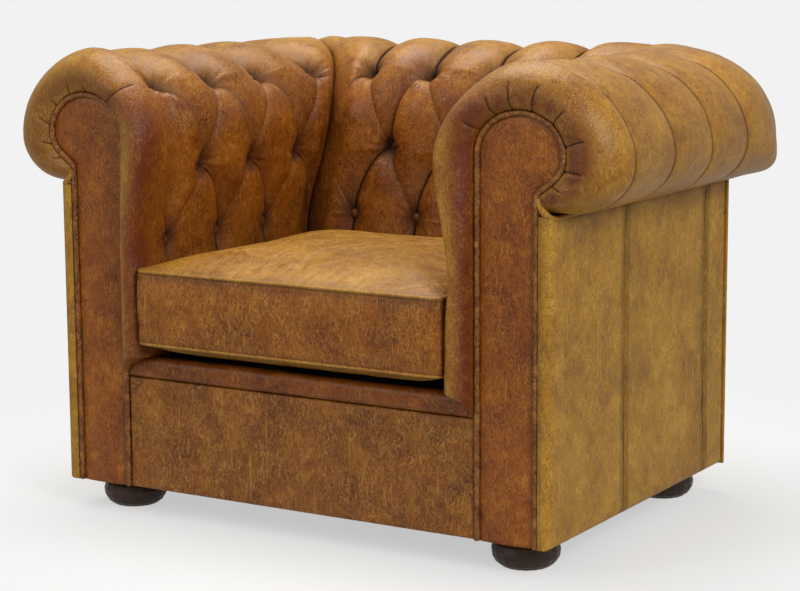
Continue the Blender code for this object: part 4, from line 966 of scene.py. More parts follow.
border_piece = flat_panel("front_border_leather", (BORDER_LOW[0], BORDER_HIGH[1], BORDER_LOW[2]),
                          (1, 0, 0), (0, 0, 1), (0, -1, 0), BORDER_HIGH[0] - BORDER_LOW[0],
                          BORDER_HIGH[2] - BORDER_LOW[2], BORDER_HIGH[1] - BORDER_LOW[1], 0.0035,
                          lambda u, v: (hash_noise(u * 8, v * 9, seed=35) - 0.5) * 0.0022 + 0.0012)


def draw_seams(piece, seed):
    """A running number along the outer side that is near whole in each sewn seam."""
    co = np.array([point.co for point in piece.data.vertices])
    along = co[:, 1] - PANEL_LOW[1] - 0.0015 * np.sin((co[:, 2] - PANEL_LOW[2]) * 9 + seed)
    gap = np.min(np.abs(along[:, None] - np.array(SIDE_SEAMS)[None]), 1)
    first = np.abs(along - SIDE_SEAMS[0]) < np.abs(along - SIDE_SEAMS[1])
    number = (along - np.where(first, *SIDE_SEAMS)) / LINE_UNIT + LINE_PLACE
    set_attribute(piece, "arched", number)
    set_attribute(piece, "drawn", 0.85 * (1 - smooth_step(gap, 0.010, 0.018)))


draw_seams(outside_right, 21)
draw_seams(outside_left, 27)
print("panels made")

# %% [markdown]
# The scroll facings are thin padded panels. Their width at each height follows the scroll, and
# the leather rises gently away from the piping that holds its edge. The piping is a cord wrapped
# in leather, so it is a tube whose radius ripples a little, and not a row of modelled stitches.

# %% Scroll facings and piping
FACING_THICKNESS = FACING_HIGH[1] - FACING_LOW[1]
HEAD_TOP_ANGLE = math.radians(86)
WELT_RADIUS = 0.0036


def facing_edges():
    """Heights up the facing, with its inner and outer edge at each."""
    inset = PIPING_SEAT - 0.0015
    edge_x, edge_z = scroll_line(ROWS, -inset)
    top = int(np.argmax(edge_z))
    shaft = np.linspace(LEATHER_LOW_Z, SCROLL_NECK_Z - 0.004, 110)
    low_turn = math.asin((SCROLL_NECK_Z - SCROLL_CENTRE_Z) / SCROLL_HALF_HEIGHT)
    turn = np.linspace(low_turn, HEAD_TOP_ANGLE, 60)
    z = np.concatenate([shaft, SCROLL_CENTRE_Z + (edge_z[top] - SCROLL_CENTRE_Z) * np.sin(turn)])
    left = np.interp(z, edge_z[:top], edge_x[:top])
    right = np.interp(z, edge_z[top:][::-1], edge_x[top:][::-1])
    return z, left, right


def facing(side, name, seed):
    """One padded scroll facing."""
    z, left, right = facing_edges()
    share = 0.5 - 0.5 * np.cos(np.linspace(0, math.pi, 41))
    x = left[None] + (right - left)[None] * share[:, None]
    height = np.broadcast_to(z, x.shape)
    gap = np.minimum(x - left, right - x)
    off_centre = np.hypot((x - SCROLL_CENTRE_X) / SCROLL_HALF_WIDTH,
                          (height - SCROLL_CENTRE_Z) / SCROLL_HALF_HEIGHT)
    in_head = SCROLL_HALF_HEIGHT * (1 - off_centre) - PIPING_SEAT + 0.0015
    gap = np.where(height > SCROLL_CENTRE_Z, np.minimum(in_head, gap), gap)
    gap = np.clip(gap, 0, None)
    crown = 0.0042 * (1 - np.exp(-gap / 0.011)) - 0.0022
    soft = (hash_noise(x * 22, height * 9, seed=seed) - 0.5) * 0.0016
    soft = soft + (hash_noise(x * 60, height * 40, seed=seed + 1) - 0.5) * 0.0004
    y = FACE_Y - crown - soft * smooth_step(gap, 0, 0.02)
    front = np.stack([side * x, y, height], -1)
    back = np.stack([side * x, np.full(x.shape, FACE_Y + FACING_THICKNESS), height], -1)
    return solid_between(name, front, back)


def even_path(points, step):
    """The same path with points at even steps, its sharp corners eased."""
    points = np.asarray(points, float)
    reach = np.concatenate([[0], np.cumsum(np.linalg.norm(np.diff(points, axis=0), axis=1))])
    places = np.linspace(0, reach[-1], int(reach[-1] / step) + 1)
    even = np.stack([np.interp(places, reach, points[:, axis]) for axis in range(3)], 1)
    for _ in range(3):
        even[1:-1] = (even[:-2] + 2 * even[1:-1] + even[2:]) / 4
    return even


def piping(side, name):
    """Piping up the inner edge of the facing, round its head and down its outer edge, with the
    small gathers that leather takes when it is wrapped round a cord."""
    x, z = scroll_line(ROWS)
    start = np.array([[FACING_INSIDE, LEATHER_LOW_Z]])
    end = np.array([[FACING_OUTSIDE, LEATHER_LOW_Z]])
    flat = np.vstack([start, np.stack([x, z], 1), end])
    path = np.stack([side * flat[:, 0], np.full(len(flat), FACE_Y - 0.0005), flat[:, 1]], 1)
    path = even_path(path, 0.0022)

    def ripple(index, angle):
        spiral = index * 1.9 + 1.4 * np.cos(angle)
        uneven = hash_noise(index * 0.37 + 0 * angle, angle * 0.8) - 0.5
        return 1 + 0.055 * np.sin(spiral) + 0.05 * uneven
    return tube(name, path, PIPING_RADIUS, sides=12, ripple=ripple)


facing_right = facing(1, "arm_facing_right_leather", 41)
facing_left = facing(-1, "arm_facing_left_leather", 45)
piping_right = piping(1, "facing_piping_right_leather")
piping_left = piping(-1, "facing_piping_left_leather")
print("facings and piping made")


def welt(side, name):
    """A thin welt that closes the roll against the outside panel: out from the facing's neck,
    round a small bend, and back along the panel's upper edge."""
    across = PANEL_HIGH[0] - 0.0035
    bend = [(FACING_OUTSIDE + 0.002, 0.0005, SCROLL_NECK_Z - 0.006),
            (FACING_OUTSIDE + 0.006, -0.0015, SCROLL_NECK_Z - 0.016),
            (FACING_OUTSIDE + 0.014, -0.0020, ROLL_UNDERSIDE_Z + 0.003),
            (across - 0.003, 0.0005, ROLL_UNDERSIDE_Z - 0.0010)]
    back = [(across, depth, ROLL_UNDERSIDE_Z - 0.0035 - 0.0008 * math.sin(depth * 60))
            for depth in np.linspace(0.012, PANEL_HIGH[1] - FACE_Y, 60)]
    path = [(side * x, FACE_Y + y, z) for x, y, z in bend + back]
    path = even_path(path, 0.0026)

    def ripple(index, angle):
        tuck = 0.45 * np.exp(-((index - 9) / 4.0) ** 2)
        uneven = hash_noise(index * 0.3 + 0 * angle, angle) - 0.5
        return 1 + tuck + 0.05 * np.sin(index * 1.3) + 0.06 * uneven
    return tube(name, path, WELT_RADIUS, sides=12, ripple=ripple)


welt_right = welt(1, "roll_welt_right")
welt_left = welt(-1, "roll_welt_left")

# %% [markdown]
# The seat lip is a firm roll of padding under the cushion's front edge. It is a rounded section
# carried from side to side, which tapers to its seam at both ends, where the arm pads meet it.

# %% Seat lip
LIP_HALF_DEPTH = 0.0150
LIP_SQUARENESS = 0.70


def seat_lip(name):
    """A rounded bar along the front of the deck, tapering into its seam at both ends."""
    reach = CORE_X[0] - 0.0006
    pleat_line = reach * np.sin(np.linspace(0, math.pi / 2, 90))
    x = np.concatenate([-pleat_line[::-1], pleat_line[1:]])
    rise = lip_top(x) - LIP_SEAM_Z
    angle = np.linspace(0, 2 * math.pi, 44, endpoint=False)
    across = np.sign(np.cos(angle)) * np.abs(np.cos(angle)) ** LIP_SQUARENESS
    height = 0.5 + 0.5 * np.sign(np.sin(angle)) * np.abs(np.sin(angle)) ** LIP_SQUARENESS
    uneven = 1 + 0.05 * (hash_noise(x[:, None] * 24, angle[None] * 0.9, seed=51) - 0.5)
    taper = 0.45 + 0.55 * np.sqrt(np.clip(rise / LIP_RISE, 0, 1))
    middle_y = LIP_LOW[1] + LIP_HALF_DEPTH + 0.001
    points = np.stack([np.broadcast_to(x[:, None], uneven.shape),
                       middle_y + LIP_HALF_DEPTH * across[None] * uneven * taper[:, None],
                       LIP_SEAM_Z + np.maximum(rise[:, None], 0.0004) * height[None] * uneven], -1)
    count, sides = uneven.shape
    faces = grid_quads(count, sides, wrap_rows=True).tolist()
    faces.append(list(range(sides)))
    faces.append([(count - 1) * sides + k for k in range(sides)])
    piece = new_object(name, points.reshape(-1, 3), faces)
    turn_outward(piece)
    return piece


lip_piece = seat_lip("seat_lip_leather")

# %% [markdown]
# The seat cushion is blown up as cloth. A boxed cushion is remeshed evenly, its two seams are
# held, and a short cloth simulation with inner pressure gives the leather its own soft swelling
# and puckers. The movement is limited, so the cushion keeps its size. A formula alone gives a
# swelling that is too even, so here the cloth does what it does on the real cushion.

# %% Seat cushion
CUSHION_MIDDLE_Y = (CUSHION_LOW[1] + CUSHION_HIGH[1]) / 2
CUSHION_HALF_X = CUSHION_HIGH[0]
CUSHION_HALF_Y = (CUSHION_HIGH[1] - CUSHION_LOW[1]) / 2
SEAM_TOP_Z, SEAM_LOW_Z, CROWN_Z = 0.388, 0.277, CUSHION_HIGH[2]
FRONT_CORNER, BACK_CORNER = 0.013, 0.045
SEAM_SHARE = 0.993            # scale of the plan outline at the seams
FRONT_SPREAD = 0.0140         # the front corners spread ahead of the arms
CLOTH_GRID = 0.0048           # size of the even mesh that is simulated
CLOTH_FRAMES = 20
INNER_PRESSURE = 4.0
MOST_MOVE = 0.011
STITCH_DROP = 0.0042          # the sewn line lies this far below each raised seam


def plan_ring(scale, count=264):
    """Points of the cushion's plan outline at a scale of its full size."""
    half_x, half_y = CUSHION_HALF_X, CUSHION_HALF_Y
    turn = np.linspace(0, math.pi / 2, 14)
    path = []
    for corner, sx, sy, start in ((BACK_CORNER, 1, 1, 0), (BACK_CORNER, -1, 1, 1),
                                  (FRONT_CORNER, -1, -1, 2), (FRONT_CORNER, 1, -1, 3)):
        angle = turn + start * math.pi / 2
        path += list(zip(sx * (half_x - corner) + corner * np.cos(angle),
                         sy * (half_y - corner) + corner * np.sin(angle)))
    path = np.array(path + path[:1])
    run = np.concatenate([[0], np.cumsum(np.hypot(*np.diff(path, axis=0).T))])
    places = np.linspace(0, run[-1], count, endpoint=False)
    x, y = (np.interp(places, run, path[:, axis]) for axis in (0, 1))
    x = x * (1 + FRONT_SPREAD / half_x * smooth_step(-y, half_y - 0.055, half_y - 0.028))
    return x * scale, CUSHION_MIDDLE_Y + y * scale


def cushion_blank():
    """The boxed cushion before it is blown up."""
    low_z = CUSHION_LOW[2]
    belly = SEAM_LOW_Z - low_z
    profile = [(s * SEAM_SHARE, SEAM_LOW_Z - belly * (1 - s ** 3.4))
               for s in np.linspace(0.30, 0.97, 16)]
    profile += [(SEAM_SHARE, SEAM_LOW_Z)]
    border = SEAM_TOP_Z - SEAM_LOW_Z
    profile += [(SEAM_SHARE + 0.007 * math.sin(math.pi * s) ** 0.8, SEAM_LOW_Z + border * s)
                for s in np.linspace(0, 1, 12)[1:-1]]
    profile += [(SEAM_SHARE, SEAM_TOP_Z)]
    crown = CROWN_Z - SEAM_TOP_Z
    profile += [(s * SEAM_SHARE, SEAM_TOP_Z + crown * (1 - s ** 3.0))
                for s in np.linspace(0.97, 0.08, 22)]
    rings = []
    for scale, height in profile:
        x, y = plan_ring(scale)
        rings.append(np.stack([x, y, np.full(len(x), height)], 1))
    count = len(rings[0])
    poles = [[0, CUSHION_MIDDLE_Y, CUSHION_LOW[2]], [0, CUSHION_MIDDLE_Y, CROWN_Z]]
    points = np.vstack(rings + [poles])
    faces = grid_quads(len(rings), count, wrap_rows=True).tolist()
    low_pole, high_pole = len(points) - 2, len(points) - 1
    top = (len(rings) - 1) * count
    for k in range(count):
        after = (k + 1) % count
        faces.append([low_pole, after, k])
        faces.append([high_pole, top + k, top + after])
    piece = new_object("seat_cushion_leather", points, faces)
    turn_outward(piece)
    return piece


def seam_distance(co, height):
    """How far points are from a seam loop at a height."""
    x, y = plan_ring(SEAM_SHARE, 900)
    loop = KDTree(len(x))
    for index, spot in enumerate(zip(x, y)):
        loop.insert((*spot, height), index)
    loop.balance()
    return np.array([loop.find(point)[2] for point in co])


def mesh_points(mesh):
    """A mesh's points as an array."""
    co = np.zeros(len(mesh.vertices) * 3)
    mesh.vertices.foreach_get("co", co)
    return co.reshape(-1, 3)


def blow_up(piece):
    """Remesh the blank, simulate it as cloth under pressure, and keep the result."""
    scene = bpy.context.scene
    bpy.context.view_layer.objects.active = piece
    remesh = piece.modifiers.new("even", "REMESH")
    remesh.mode = "VOXEL"
    remesh.voxel_size = CLOTH_GRID
    bpy.ops.object.modifier_apply(modifier=remesh.name)
    start = mesh_points(piece.data)
    hold = np.minimum(seam_distance(start, SEAM_TOP_Z), seam_distance(start, SEAM_LOW_Z))
    weight = np.clip(1.25 - hold / 0.0045, 0, 1)
    weight = np.maximum(weight, (start[:, 2] < CUSHION_LOW[2] + 0.006) * 1.0)
    group = piece.vertex_groups.new(name="held")
    for index in np.nonzero(weight > 0)[0]:
        group.add([int(index)], float(weight[index]), "REPLACE")
    cloth = piece.modifiers.new("cloth", "CLOTH")
    cloth.settings.quality = 6
    cloth.settings.mass = 0.35
    cloth.settings.tension_stiffness = 30
    cloth.settings.compression_stiffness = 30
    cloth.settings.bending_stiffness = 1.2
    cloth.settings.use_pressure = True
    cloth.settings.uniform_pressure_force = INNER_PRESSURE
    cloth.settings.shrink_min = -0.004
    cloth.settings.vertex_group_mass = "held"
    cloth.settings.effector_weights.gravity = 0.0
    cloth.collision_settings.use_collision = False
    cloth.collision_settings.use_self_collision = False
    for frame_number in range(1, CLOTH_FRAMES + 1):
        scene.frame_set(frame_number)
    graph = bpy.context.evaluated_depsgraph_get()
    blown = mesh_points(piece.evaluated_get(graph).data)
    piece.modifiers.remove(cloth)
    scene.frame_set(1)
    move = blown - start
    size = np.linalg.norm(move, axis=1)
    move *= (MOST_MOVE * np.tanh(size / MOST_MOVE) / np.maximum(size, 1e-9))[:, None]
    place = start + move
    ahead = smooth_step(FACE_Y - place[:, 1], -0.008, 0.014)
    widest = ARM_INSIDE - 0.0008 + 0.0080 * ahead
    place[:, 0] = np.clip(place[:, 0], -widest, widest)
    place[:, 1] = np.clip(place[:, 1], CUSHION_LOW[1] - 0.009, CUSHION_HIGH[1] + 0.003)
    place[:, 2] = np.clip(place[:, 2], CUSHION_LOW[2], None)
    piece.data.vertices.foreach_set("co", place.ravel())
    piece.data.update()
    piece.data.shade_smooth()


def boxed(piece):
    """Mark the cushion's border between its seams, which is cut from redder leather, and the
    sewn line below each seam."""
    height = mesh_points(piece.data)[:, 2]
    inside = smooth_step(height, SEAM_LOW_Z - 0.001, SEAM_LOW_Z + 0.003)
    inside = inside * (1 - smooth_step(height, SEAM_TOP_Z - 0.003, SEAM_TOP_Z + 0.001))
    set_attribute(piece, "sunny", 1 - inside)
    seam = np.where(height > (SEAM_LOW_Z + SEAM_TOP_Z) / 2, SEAM_TOP_Z, SEAM_LOW_Z) - STITCH_DROP
    set_attribute(piece, "arched", (height - seam) / LINE_UNIT + LINE_PLACE)
    set_attribute(piece, "drawn", 0.62 * (1 - smooth_step(np.abs(height - seam), 0.006, 0.014)))


cushion_piece = cushion_blank()
blow_up(cushion_piece)
boxed(cushion_piece)
print("cushion points:", len(cushion_piece.data.vertices))


def cushion_seam(name, height):
    """A narrow raised seam round the cushion, laid on its surface."""
    tree = BVHTree.FromObject(cushion_piece, bpy.context.evaluated_depsgraph_get())
    x, y = plan_ring(SEAM_SHARE, 400)
    path = []
    for px, py in zip(x, y):
        spot = tree.find_nearest(Vector((px, py, height)))
        normal = spot[1]
        path.append(spot[0] + normal * 0.0002)
    path = np.array(path)
    for _ in range(4):
        path = (np.roll(path, 1, 0) + 2 * path + np.roll(path, -1, 0)) / 4

    def ripple(index, angle):
        return 1 + 0.10 * np.sin(index * 2.4) + 0 * angle
    seam = tube(name, path, 0.0023, sides=10, closed=True, ripple=ripple)
    set_attribute(seam, "sunny", np.ones(len(seam.data.vertices)))
    return seam


seam_high = cushion_seam("cushion_seam_top", SEAM_TOP_Z)
seam_low = cushion_seam("cushion_seam_bottom", SEAM_LOW_Z)
print("cushion seams made")
# %% [markdown]
# Worn leather. One shared group mixes large cloudy patches, small mottling, fine hair-like scuffs,
# scratches and crackle, and paints shade into the folds, the button hollows and the crease lines. Each
# piece sets its own three colours. A photograph of leather could be wrapped round the pieces, but it
# would show its edges and repeat; noises in the object's own space have no seams, and follow the wear,
# the painted shade and the painted sheen that each piece stores on its points.

# %% Leather effect
def group_tree(name, inputs, outputs):
    """A node group with its sockets, and its input and output nodes."""
    tree = bpy.data.node_groups.new(name, "ShaderNodeTree")
    for label, kind, default in inputs:
        socket = tree.interface.new_socket(label, in_out="INPUT", socket_type=kind)
        socket.default_value = default
    for label, kind in outputs:
        tree.interface.new_socket(label, in_out="OUTPUT", socket_type=kind)
    return tree, tree.nodes.new("NodeGroupInput"), tree.nodes.new("NodeGroupOutput")


class Wiring:
    """Short calls that add nodes to a tree and return their outputs."""

    def __init__(self, tree):
        self.tree = tree

    def plug(self, socket, value):
        """Link an output, or set a constant on the socket itself."""
        if isinstance(value, bpy.types.NodeSocket):
            self.tree.links.new(value, socket)
        else:
            socket.default_value = value

    def math(self, operation, first, second=0.0, clamp=False):
        node = self.tree.nodes.new("ShaderNodeMath")
        node.operation = operation
        node.use_clamp = clamp
        self.plug(node.inputs[0], first)
        self.plug(node.inputs[1], second)
        return node.outputs[0]

    def span(self, value, low, high, to_low=0.0, to_high=1.0):
        """A smooth step of value from low to high, put between to_low and to_high."""
        node = self.tree.nodes.new("ShaderNodeMapRange")
        node.interpolation_type = "SMOOTHSTEP"
        for index, item in enumerate((value, low, high, to_low, to_high)):
            self.plug(node.inputs[index], item)
        return node.outputs[0]

    def noise(self, place, scale, detail=4.0, rough=0.55, distortion=0.0):
        node = self.tree.nodes.new("ShaderNodeTexNoise")
        self.plug(node.inputs["Vector"], place)
        for label, value in (("Scale", scale), ("Detail", detail), ("Roughness", rough),
                             ("Distortion", distortion)):
            self.plug(node.inputs[label], value)
        return node.outputs["Fac"], node.outputs["Color"]

    def cells(self, place, scale, feature="F1"):
        node = self.tree.nodes.new("ShaderNodeTexVoronoi")
        node.feature = feature
        self.plug(node.inputs["Vector"], place)
        self.plug(node.inputs["Scale"], scale)
        return node.outputs["Distance"]

    def vector(self, operation, first, second):
        node = self.tree.nodes.new("ShaderNodeVectorMath")
        node.operation = operation
        self.plug(node.inputs[0], first)
        self.plug(node.inputs[3 if operation == "SCALE" else 1], second)
        return node.outputs[0]

    def mapping(self, place, turn, stretch):
        node = self.tree.nodes.new("ShaderNodeMapping")
        self.plug(node.inputs["Vector"], place)
        self.plug(node.inputs["Rotation"], turn)
        self.plug(node.inputs["Scale"], stretch)
        return node.outputs[0]

    def mix(self, share, first, second, blend="MIX"):
        node = self.tree.nodes.new("ShaderNodeMix")
        node.data_type = "RGBA"
        node.blend_type = blend
        self.plug(node.inputs["Factor"], share)
        self.plug(node.inputs["A"], first)
        self.plug(node.inputs["B"], second)
        return node.outputs["Result"]


COLOUR, VALUE = "NodeSocketColor", "NodeSocketFloat"
worn, worn_in, worn_out = group_tree(
    "worn_leather_painted_shade",
    [("Mid", COLOUR, (0.3, 0.12, 0.03, 1)), ("Dark", COLOUR, (0.12, 0.04, 0.012, 1)),
     ("Pale", COLOUR, (0.55, 0.32, 0.12, 1)), ("Patch Scale", VALUE, 14.0), ("Veins", VALUE, 1.0),
     ("Fold Shade", VALUE, 0.0), ("Pit Shade", VALUE, 0.0), ("Line", VALUE, 0.0), ("Burnish And Sheen", VALUE, 0.0),
     ("Burnish And Sheen Colour", COLOUR, (0.16, 0.05, 0.02, 1)), ("Base Roughness", VALUE, 0.36)],
    [("Color", COLOUR), ("Roughness", VALUE), ("Height", VALUE)])
w = Wiring(worn)
place = worn.nodes.new("ShaderNodeTexCoord").outputs["Object"]
warp = w.vector("SCALE", w.vector("SUBTRACT", w.noise(place, 26.0, 3.0)[1], (0.5, 0.5, 0.5)), 0.034)
warped = w.vector("ADD", place, warp)
jitter = w.vector("SCALE", w.vector("SUBTRACT", w.noise(place, 120.0, 3.0)[1], (0.5, 0.5, 0.5)), 0.0075)
ragged = w.vector("ADD", warped, jitter)



def darker(tone, share, factor):
    """The tone multiplied by a factor, as far as share says."""
    return w.mix(share, tone, w.mix(1.0, tone, factor, "MULTIPLY"))


patch = w.noise(warped, worn_in.outputs["Patch Scale"], 6.0, 0.62)[0]
mottle = w.noise(ragged, 62.0, 5.0, 0.66)[0]
speck = w.noise(place, 640.0, 2.0, 0.75)[0]
cloud = w.math("ADD", w.math("MULTIPLY", patch, 0.58), w.math("MULTIPLY", mottle, 0.42))
shade = w.span(cloud, 0.37, 0.58, 0.06, 1.0)
tone = w.mix(shade, worn_in.outputs["Dark"], worn_in.outputs["Mid"])
tone = w.mix(w.span(cloud, 0.53, 0.70, 0.0, 0.45), tone, worn_in.outputs["Pale"])
tone = darker(tone, w.span(speck, 0.42, 0.60, 0.0, 0.64), (0.56, 0.46, 0.38, 1))

# Fine hair-like scuffs: noise stretched along several directions, bent by the warp
fibres = 0.0
for turn, seed, scale in (((0.2, 0.1, 0.3), 0.0, 520.0), ((1.2, -0.5, 0.9), 4.0, 600.0),
                          ((-0.7, 0.9, 1.8), 9.0, 560.0), ((0.5, 0.4, -0.6), 13.0, 500.0),
                          ((-0.3, 0.3, 0.7), 17.0, 640.0)):
    strand = w.mapping(w.vector("ADD", warped, (seed, seed, seed)), turn, (scale, scale, scale * 0.09))
    fibres = w.math("MAXIMUM", fibres, w.span(w.noise(strand, 1.0, 1.0, 0.5)[0], 0.56, 0.74))
where = w.span(w.noise(warped, 30.0, 3.0, 0.6)[0], 0.36, 0.62, 0.45, 1.0)
crackle = w.span(w.cells(ragged, 120.0, "DISTANCE_TO_EDGE"), 0.0, 0.07, 1.0, 0.0)
crackle = w.math("MULTIPLY", crackle, w.span(w.noise(warped, 22.0, 4.0)[0], 0.45, 0.62))
scratches = 0.0
for turn, seed in (((0.3, 1.1, 0.2), 2.0), ((1.1, 0.6, 0.9), 5.0)):
    strand = w.mapping(w.vector("ADD", place, (seed, seed, seed)), turn, (240.0, 240.0, 5.5))
    scratches = w.math("MAXIMUM", scratches, w.span(w.noise(strand, 1.0, 1.0, 0.5)[0], 0.735, 0.77))
lines = w.math("ADD", w.math("MULTIPLY", w.math("MULTIPLY", fibres, where), 0.72),
               w.math("MULTIPLY", crackle, 0.34))
lines = w.math("ADD", lines, w.math("MULTIPLY", scratches, 0.55))
lines = w.math("MULTIPLY", lines, worn_in.outputs["Veins"], clamp=True)
tone = w.mix(w.math("MULTIPLY", lines, 0.62), tone, worn_in.outputs["Pale"])

# Burnish wear in a darker purple-red, which also stands for a painted sheen and painted shade by the
# piping
uneven_burnish_sheen = w.span(cloud, 0.40, 0.58, 0.35, 1.25)
ragged_burnish_sheen = w.math("MULTIPLY", worn_in.outputs["Burnish And Sheen"], uneven_burnish_sheen, clamp=True)
tone = w.mix(w.math("MULTIPLY", ragged_burnish_sheen, 0.85), tone, worn_in.outputs["Burnish And Sheen Colour"])
# Painted shade: the colour darkens with how deep in a fold each point lies
fold_shade = w.math("POWER", worn_in.outputs["Fold Shade"], 1.3, clamp=True)
tone = darker(tone, w.math("MULTIPLY", fold_shade, 0.72), (0.36, 0.25, 0.20, 1))
# Painted shade in the hollows round the buttons
uneven_pit_shade = w.span(mottle, 0.3, 0.6, 0.7, 1.15)
ragged_pit_shade = w.math("MULTIPLY", worn_in.outputs["Pit Shade"], uneven_pit_shade, clamp=True)
tone = darker(tone, w.math("MULTIPLY", ragged_pit_shade, 0.93), (0.15, 0.085, 0.07, 1))
# Near-black lines: painted shade in the creases, and dark sewn seams
tone = w.mix(w.math("MULTIPLY", worn_in.outputs["Line"], 0.94), tone, (0.016, 0.0045, 0.002, 1))
mottled = w.math("MULTIPLY", w.math("SUBTRACT", mottle, 0.5), 0.40)
rough = w.math("ADD", worn_in.outputs["Base Roughness"], mottled)
rough = w.math("ADD", rough, w.math("MULTIPLY", lines, 0.20))
creased = w.math("MAXIMUM", fold_shade, worn_in.outputs["Line"])
rough = w.math("ADD", rough, w.math("MULTIPLY", creased, 0.30))
rough = w.math("ADD", rough, w.math("MULTIPLY", ragged_pit_shade, 0.30), clamp=True)
grain = w.cells(w.vector("ADD", place, jitter), 420.0)
pores = w.noise(place, 900.0, 2.0, 0.6)[0]
crinkle = w.math("MULTIPLY", w.noise(ragged, 240.0, 3.0, 0.6)[0], w.math("ADD", ragged_burnish_sheen, 0.35))
height = w.math("ADD", w.math("MULTIPLY", grain, -0.34), w.math("MULTIPLY", pores, 0.20))
height = w.math("ADD", height, w.math("MULTIPLY", mottle, 1.1))
height = w.math("ADD", height, w.math("MULTIPLY", crinkle, 0.9))
height = w.math("SUBTRACT", height, w.math("MULTIPLY", lines, 0.30))
height = w.math("SUBTRACT", height, w.math("MULTIPLY", worn_in.outputs["Line"], 2.2))
w.plug(worn_out.inputs["Color"], tone)
w.plug(worn_out.inputs["Roughness"], rough)
w.plug(worn_out.inputs["Height"], height)


def rgb(red, green, blue):
    """A colour in linear light from the 0 to 255 values a screen shows."""
    values = [channel / 255 for channel in (red, green, blue)]
    linear = [v / 12.92 if v <= 0.04045 else ((v + 0.055) / 1.055) ** 2.4 for v in values]
    return (*linear, 1.0)


def new_material(name):
    """An empty material with a Principled shader, and calls to wire it."""
    finish = bpy.data.materials.new(name)
    finish.use_nodes = True
    tree = finish.node_tree
    return finish, Wiring(tree), tree.nodes["Principled BSDF"]


def attribute(tree, name):
    """A number stored on the points of a piece, 0 where a piece has none."""
    node = tree.nodes.new("ShaderNodeAttribute")
    node.attribute_name = name
    return node.outputs["Fac"]


def near_whole(wiring, number, width):
    """1 where a running number is whole, falling to 0 at a small distance from it."""
    shifted = wiring.math("FRACT", wiring.math("ADD", number, 0.5))
    away = wiring.math("ABSOLUTE", wiring.math("SUBTRACT", shifted, 0.5))
    return wiring.span(away, 0.25 * width, width, 1.0, 0.0)


def leather(name, tones, sunny=None, burnish_and_sheen=(0.16, 0.05, 0.02, 1.0), patch=14.0, roughness=0.36,
            veins=1.0, bump=0.55):
    """A worn leather with painted shade in its folds, hollows and crease lines, from its middle, dark
    and pale colours, with a second set where it is sunny.
    """
    finish, wiring, shader = new_material(name)
    tree = finish.node_tree
    node = tree.nodes.new("ShaderNodeGroup")
    node.node_tree = worn
    bleached = attribute(tree, "sunny")
    for label, index in (("Mid", 0), ("Dark", 1), ("Pale", 2)):
        colour = rgb(*tones[index])
        if sunny is not None:
            colour = wiring.mix(bleached, colour, rgb(*sunny[index]))
        wiring.plug(node.inputs[label], colour)
    for label, value in (("Patch Scale", patch), ("Veins", veins), ("Base Roughness", roughness),
                         ("Burnish And Sheen Colour", burnish_and_sheen)):
        node.inputs[label].default_value = value
    # Thin dark lines: painted shade in the tuft folds and in the gathers at the scroll; on the panels
    # and the cushion the same lines are dark sewn seams
    drawn = attribute(tree, "drawn")
    arched = wiring.math("SUBTRACT", attribute(tree, "arched"), LINE_PLACE)
    line = wiring.math("MULTIPLY", near_whole(wiring, arched, 0.027), drawn)
    faint = wiring.math("MULTIPLY", near_whole(wiring, attribute(tree, "straight"), 0.014), drawn)
    line = wiring.math("MAXIMUM", line, wiring.math("MULTIPLY", faint, 0.40))
    tuck = near_whole(wiring, attribute(tree, "gather"), 0.027)
    line = wiring.math("MAXIMUM", line, wiring.math("MULTIPLY", tuck, attribute(tree, "gathered")))
    wiring.plug(node.inputs["Line"], line)
    wiring.plug(node.inputs["Fold Shade"], attribute(tree, "fold"))
    wiring.plug(node.inputs["Pit Shade"], attribute(tree, "pit_shade"))
    wiring.plug(node.inputs["Burnish And Sheen"], attribute(tree, "burnish_and_sheen"))
    relief = tree.nodes.new("ShaderNodeBump")
    relief.inputs["Strength"].default_value = bump
    relief.inputs["Distance"].default_value = 0.0012
    wiring.plug(relief.inputs["Height"], node.outputs["Height"])
    wiring.plug(shader.inputs["Base Color"], node.outputs["Color"])
    wiring.plug(shader.inputs["Roughness"], node.outputs["Roughness"])
    wiring.plug(shader.inputs["Normal"], relief.outputs["Normal"])
    shader.inputs["Specular IOR Level"].default_value = 0.38
    return finish


GOLDEN = ((174, 122, 32), (138, 84, 24), (216, 174, 90))
REDDISH = ((150, 84, 16), (110, 50, 8), (204, 146, 62))
ochre = leather("leather_outer_side", ((178, 128, 28), (144, 94, 28), (226, 186, 92)),
                patch=11.0, roughness=0.46)
tan_pad = leather("leather_buttoned", REDDISH, GOLDEN, burnish_and_sheen=rgb(96, 32, 14), roughness=0.30)
red_back = leather("leather_back", REDDISH, GOLDEN, roughness=0.29)
facing_brown = leather("leather_facing", ((146, 76, 10), (108, 48, 8), (202, 140, 56)),
                       patch=12.0, roughness=0.40)
rail_brown = leather("leather_front_rail", ((136, 76, 10), (100, 46, 8), (204, 150, 68)),
                     roughness=0.42, veins=1.25)
lip_dark = leather("leather_lip", ((134, 68, 12), (84, 32, 6), (190, 128, 50)), roughness=0.34)
cushion_tan = leather("leather_cushion", ((150, 84, 12), (112, 52, 8), (212, 156, 68)), GOLDEN,
                      roughness=0.32, veins=1.15)
piping_brown = leather("leather_piping", ((132, 74, 26), (84, 38, 14), (196, 146, 84)),
                       patch=60.0, roughness=0.36, veins=1.3, bump=0.8)
print("leathers made")

# %% [markdown]
# The other materials: dark turned feet, the hardwood frame, steel springs, hessian, felt and the
# lining under the seat. The deck felt is near black as painted shade in the gap under the cushion. Most
# of them are hidden, so one short function serves them all, with a noise that is stretched along the
# grain of the wood or the weave of the cloth.

